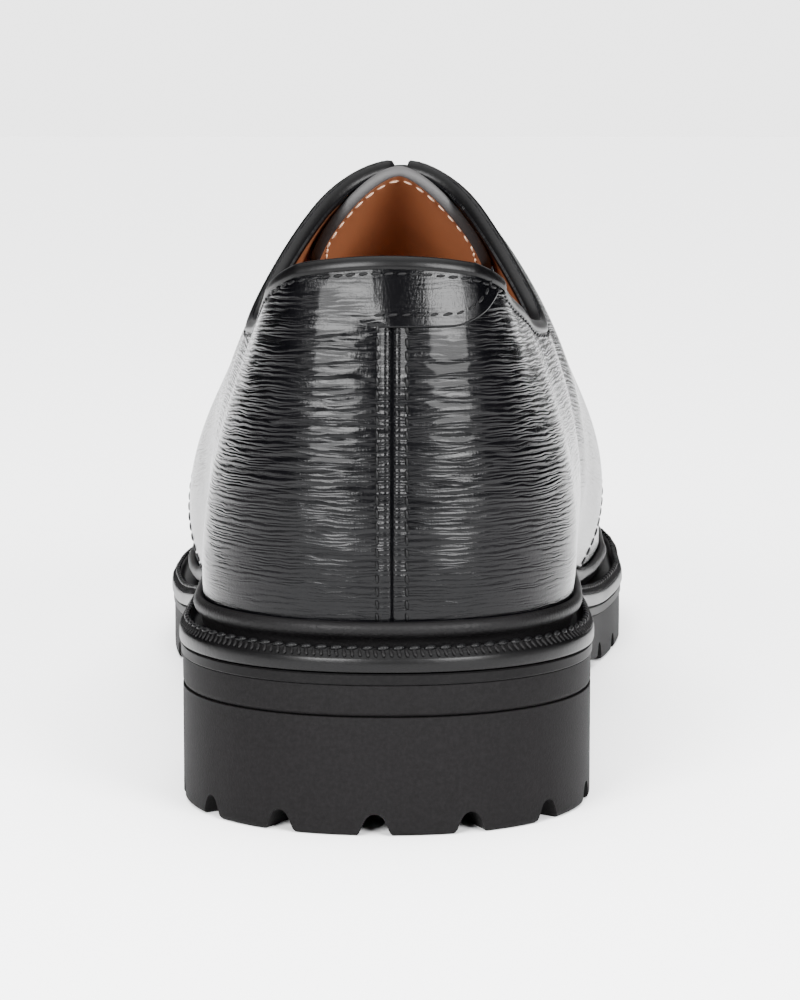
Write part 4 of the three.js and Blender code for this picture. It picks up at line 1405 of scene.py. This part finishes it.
def crossPlaces(low, high):
    places = []
    rows = max(int((high - low) // tread["crossPitch"]), 1)
    for row in range(rows):
        y = (low + high) / 2 + (row - (rows - 1) / 2) * tread["crossPitch"]
        for column in ((-0.5, 0.5) if row % 2 else (-1, 0, 1)):
            away = column * tread["crossColumns"]
            room = float(halfWidth("medial" if column > 0 else "lateral", y))
            room -= tread["lugBand"] + tread["crossRoom"] + tread["crossSpan"] / 2
            if column == 0 or abs(away) < room:
                places.append((float(middleLine(y)) + away, y))
    return places


def solidsPiece(name, solids):
    points, faces = [], []
    for p, f in solids:
        faces += [[v + len(points) for v in face] for face in f]
        points += [list(x) for x in p]
    piece = smoothMesh(name, np.array(points), faces)
    work = bmesh.new()
    work.from_mesh(piece.data)
    bmesh.ops.recalc_face_normals(work, faces=work.faces)
    work.to_mesh(piece.data)
    work.free()
    return piece


def cutAway(piece, cutter):
    cut = piece.modifiers.new("cut", "BOOLEAN")
    cut.operation, cut.solver, cut.object = "DIFFERENCE", "EXACT", cutter
    piece.data = settled(piece, cut)
    bpy.data.objects.remove(cutter)


# A slab across the shoe between two lengths, to cut with
def slab(start, end):
    far = tread["cutterReach"]
    outline = ((-far, start), (far, start), (far, end), (-far, end))
    corners = [(x, y, z) for z in (-50, 100) for x, y in outline]
    return solidsPiece("slab", [(corners, prismFaces(4))])


def recessPiece(low, high, ground):
    band = tread["lugBand"]
    recess = stacked("recess", [ring(band, lambda y: 0 * y - 3), ring(band, ground)])
    cutAway(recess, slab(high, high + tread["cutterReach"]))
    cutAway(recess, slab(-tread["cutterReach"], low))
    return recess


def rubberBlock(name, foot, top):
    # A rounded foot, upright walls, an eased top edge
    r, inset = tread["edgeRound"], shoe["rubberInset"]
    rings = [ring(inset + r, foot)]
    for a in (25, 50, 75):
        back, up = r * (1 - math.sin(math.radians(a))), r * (1 - math.cos(math.radians(a)))
        rings.append(ring(inset + back, above(foot, up)))
    rings += [ring(inset, above(foot, r)), ring(inset, above(top, -0.08)), ring(inset + 0.08, top)]
    return stacked(name, rings)


def lugged(body, node, recess, turns, onGround, crosses):
    name = body.name
    cutAway(body, recess)
    cutAway(body, solidsPiece("notches", [notchShape(t, onGround) for t in turns]))
    body = joinPieces([body, solidsPiece("crosses", crosses)], name)
    smoothShading(body.data, 32)
    finishPiece(body, rubber, "rubber", node)


def outsolePiece():
    body = rubberBlock("outsole_rubber", above(treadAt, 0.02), above(outsoleTop, -0.02))
    depth, length = tread["lugDepth"], shoe["length"]
    crosses = []
    for x, y in crossPlaces(treadStart, length - tread["lugBand"]):
        ground = float(treadAt(y))
        crosses.append(crossShape(x, y, ground + 0.05, ground + depth + 1))
    turns = notchTurns(treadStart + tread["notchClear"], length + 1)
    recess = recessPiece(treadStart, 500, above(treadAt, depth))
    lugged(body, "outsole", recess, turns, False, crosses)


def heelPiece():
    body = rubberBlock("heel_rubber", lambda y: 0 * y, lambda y: treadAt(y) - springAt(y) - 0.02)
    depth, length = tread["lugDepth"], shoe["heelLength"]
    cutAway(body, slab(length, length + tread["cutterReach"]))
    recess = recessPiece(-100, length - tread["lugBand"] / 2, lambda y: 0 * y + depth)
    turns = notchTurns(-1, length - tread["notchClear"])
    lugged(body, "heel_block", recess, turns, True, [crossShape(0, length / 2, 0.02, depth + 1)])


outsolePiece()
heelPiece()
print("stage: sole")


# Footbed, out to the linings
footbed = {
    "gap": 0.1,
    # Inset, over the welt
    "levels": [(0.5, -1.0), (0, 0.6), (0, 1.9), (0.8, 2.0), (2.2, 1.3), (5, 1.0), (9, 0.9)],
}


def footbedPiece():
    foot = shoe["weltShow"] + quarter["wall"] + footbed["gap"]
    rings = [ring(foot + inset, above(weltTop, height)) for inset, height in footbed["levels"]]
    finishPiece(stacked("footbed", rings, angle=60), tanLeather, "tan_leather", "insole")


footbedPiece()
print("stage: footbed")


# Laces: straight bars over the facings that dive into their eyelets
lace = {
    "thickness": 2.4, "bars": 5, "ahead": 7.0, "eyelet": 9.0, "dive": 2.6, "sides": 12,
    "points": 41, "lift": 0.3, "ringRadius": 2.0, "ringWire": 0.42,
}


def circle(count):
    angles = np.linspace(0, 2 * math.pi, count, endpoint=False)
    return np.cos(angles)[:, None], np.sin(angles)[:, None]


def tube(name, route, radius, sides, closed=False):
    ahead = np.roll(route, -1, axis=0) - np.roll(route, 1, axis=0) if closed else np.gradient(route, axis=0)
    tangent = unit(ahead)
    across = unit(np.cross(tangent, [0.02, 0.1, 1.0]))
    upward = np.cross(across, tangent)
    c, s = circle(sides)
    loops = route[:, None] + radius * (across[:, None] * c + upward[:, None] * s)
    count = len(route)
    faces = gridFaces(count, sides, closed=True, flip=True, looped=closed)
    if not closed:
        faces += [list(range(sides)), list(range((count - 1) * sides, count * sides))[::-1]]
    piece = smoothMesh(name, loops.reshape(-1, 3), faces, 60)
    places = vectors(np.arange(count)[:, None] * 0.6, np.arange(sides)[None, :] * radius)
    writeMap(piece, places.reshape(-1, 2))
    return piece


def laces():
    reach = quarter["gapFoot"] / 2 + lace["eyelet"]
    share = np.linspace(-1, 1, lace["points"])
    height = lace["lift"] + lace["thickness"] / 2 - lace["dive"] * softStep(0.86, 1.02, np.abs(share))
    c, s = circle(20)
    rings = []
    for k, y in enumerate(np.linspace(laceFirst, throatEnd - lace["ahead"], lace["bars"])):
        turn, rise = instepPlace(np.full(lace["points"], y), share * reach + 1e-6)
        points, normals = lastPoint(turn, rise), lastNormal(turn, rise)
        bar = tube(f"lace_{k + 1}", points + normals * height[:, None], lace["thickness"] / 2, lace["sides"])
        finishPiece(bar, waxedCord, "waxed_cord", f"lace_bar_{k + 1}")
        for end in (0, -1):
            aside = unit(np.cross(normals[end], [0, 1, 0]))
            ahead = np.cross(aside, normals[end])
            route = points[end] + normals[end] * 0.05 + lace["ringRadius"] * (aside * c + ahead * s)
            rings.append(tube("eyelet", route, lace["ringWire"], 8, closed=True))
    finishPiece(joinPieces(rings, "eyelets"), edgeLeather, "edge_leather")


laces()
print("stage: laces")

# Camera of the photograph: its place is in the row frame, in metres
camera = {
    "place": (0.01082, -0.6464, 0.1433),
    "toesOut": 3.0,          # degrees between the view and the shoe's own line
    "down": 2.525,
    "photoFocal": 1700.0,    # pixels, as the two below
    "aimAside": -110.5,
    "aimBelow": 155.0,
    "zoom": 2.05,
    "sensor": 36.0,
}


def placeCamera():
    side, down = math.radians(camera["toesOut"]), math.radians(camera["down"])
    ahead = Vector((math.sin(side) * math.cos(down), math.cos(side) * math.cos(down), -math.sin(down)))
    right = Vector((math.cos(side), -math.sin(side), 0))
    upward = right.cross(ahead)
    aim = ahead + right * camera["aimAside"] / camera["photoFocal"]
    aim = aim - upward * camera["aimBelow"] / camera["photoFocal"]
    data = bpy.data.cameras.new("camera")
    data.sensor_width = camera["sensor"]
    data.lens = camera["sensor"] * camera["photoFocal"] * camera["zoom"] / 1000
    data.clip_start = 0.01
    seen = addPiece("camera", data)
    seen.location = camera["place"]
    seen.rotation_euler = aim.to_track_quat("-Z", "Y").to_euler()
    bpy.context.scene.camera = seen


studio = {
    "floorLook": {"color": (0.88, 0.88, 0.885), "roughness": 0.9, "specular": 0.1},
    "floor": [(-1.5, -0.42), (1.5, -0.42), (1.5, 4.0), (-1.5, 4.0)],
    "softboxes": {  # place, width, height, watts
        "leftSoftbox": ((-0.6, -1.12, 0.58), 0.62, 0.6, 62.0),
        "rightSoftbox": ((0.8, -1.05, 0.58), 0.6, 0.6, 62.0),
    },
    "aim": (0.0, 0.0, 0.07),
    "behind": (0.8, 0.98, 0.8),    # from and to along +Y, brightness
    "above": (0.7, 0.92, 4.6),     # from and to along +Z, brightness
    "dark": 0.01,
    "backdrop": 3.4,
    "ceiling": 8.0,                # lights the floor and the lining, and shows in no reflection
    "ceilingSpread": 1.2,
}


def placeLights():
    for name, (place, width, height, power) in studio["softboxes"].items():
        data = bpy.data.lights.new(name, "AREA")
        data.shape, data.size, data.size_y, data.energy = "RECTANGLE", width, height, power
        lamp = addPiece(name, data)
        lamp.location = place
        aim = Vector(studio["aim"]) - Vector(place)
        lamp.rotation_euler = aim.to_track_quat("-Z", "Y").to_euler()
    data = bpy.data.lights.new("ceiling", "SUN")
    data.energy, data.angle = studio["ceiling"], studio["ceilingSpread"]
    addPiece("ceiling", data).visible_glossy = False


# What the shoe mirrors: dark towards the camera, pale behind and above. The camera sees the backdrop.
def placeWorld():
    world = bpy.data.worlds.new("studio")
    bpy.context.scene.world = world
    world.use_nodes = True
    tree = world.node_tree
    place = add(tree, "ShaderNodeTexCoord").outputs["Generated"]
    split = add(tree, "ShaderNodeSeparateXYZ", {0: place})
    shades = {}
    for k, (axis, side) in enumerate((("Y", "behind"), ("Z", "above"))):
        low, high, bright = studio[side]
        span = {"From Min": low, "From Max": high, "To Min": studio["dark"], "To Max": bright}
        span["Value"] = split.outputs[axis]
        shades[k] = add(tree, "ShaderNodeMapRange", span, interpolation_type="SMOOTHSTEP").outputs[0]
    most = add(tree, "ShaderNodeMath", shades, operation="MAXIMUM").outputs[0]
    direct = add(tree, "ShaderNodeLightPath").outputs["Is Camera Ray"]
    pick = add(tree, "ShaderNodeMix", {"Factor": direct, "A": most, "B": studio["backdrop"]})
    feed(tree, tree.nodes["Background"], {"Color": (1, 1, 1, 1), "Strength": pick.outputs["Result"]})


def placeStudio():
    mesh = bpy.data.meshes.new("floor")
    mesh.from_pydata([(x, y, 0) for x, y in studio["floor"]], [], [(0, 1, 2, 3)])
    mesh.materials.append(startMaterial("paleFloor", studio["floorLook"])[0])
    addPiece("floor", mesh)
    placeLights()
    placeWorld()


placeCamera()
placeStudio()
print("stage: studio")
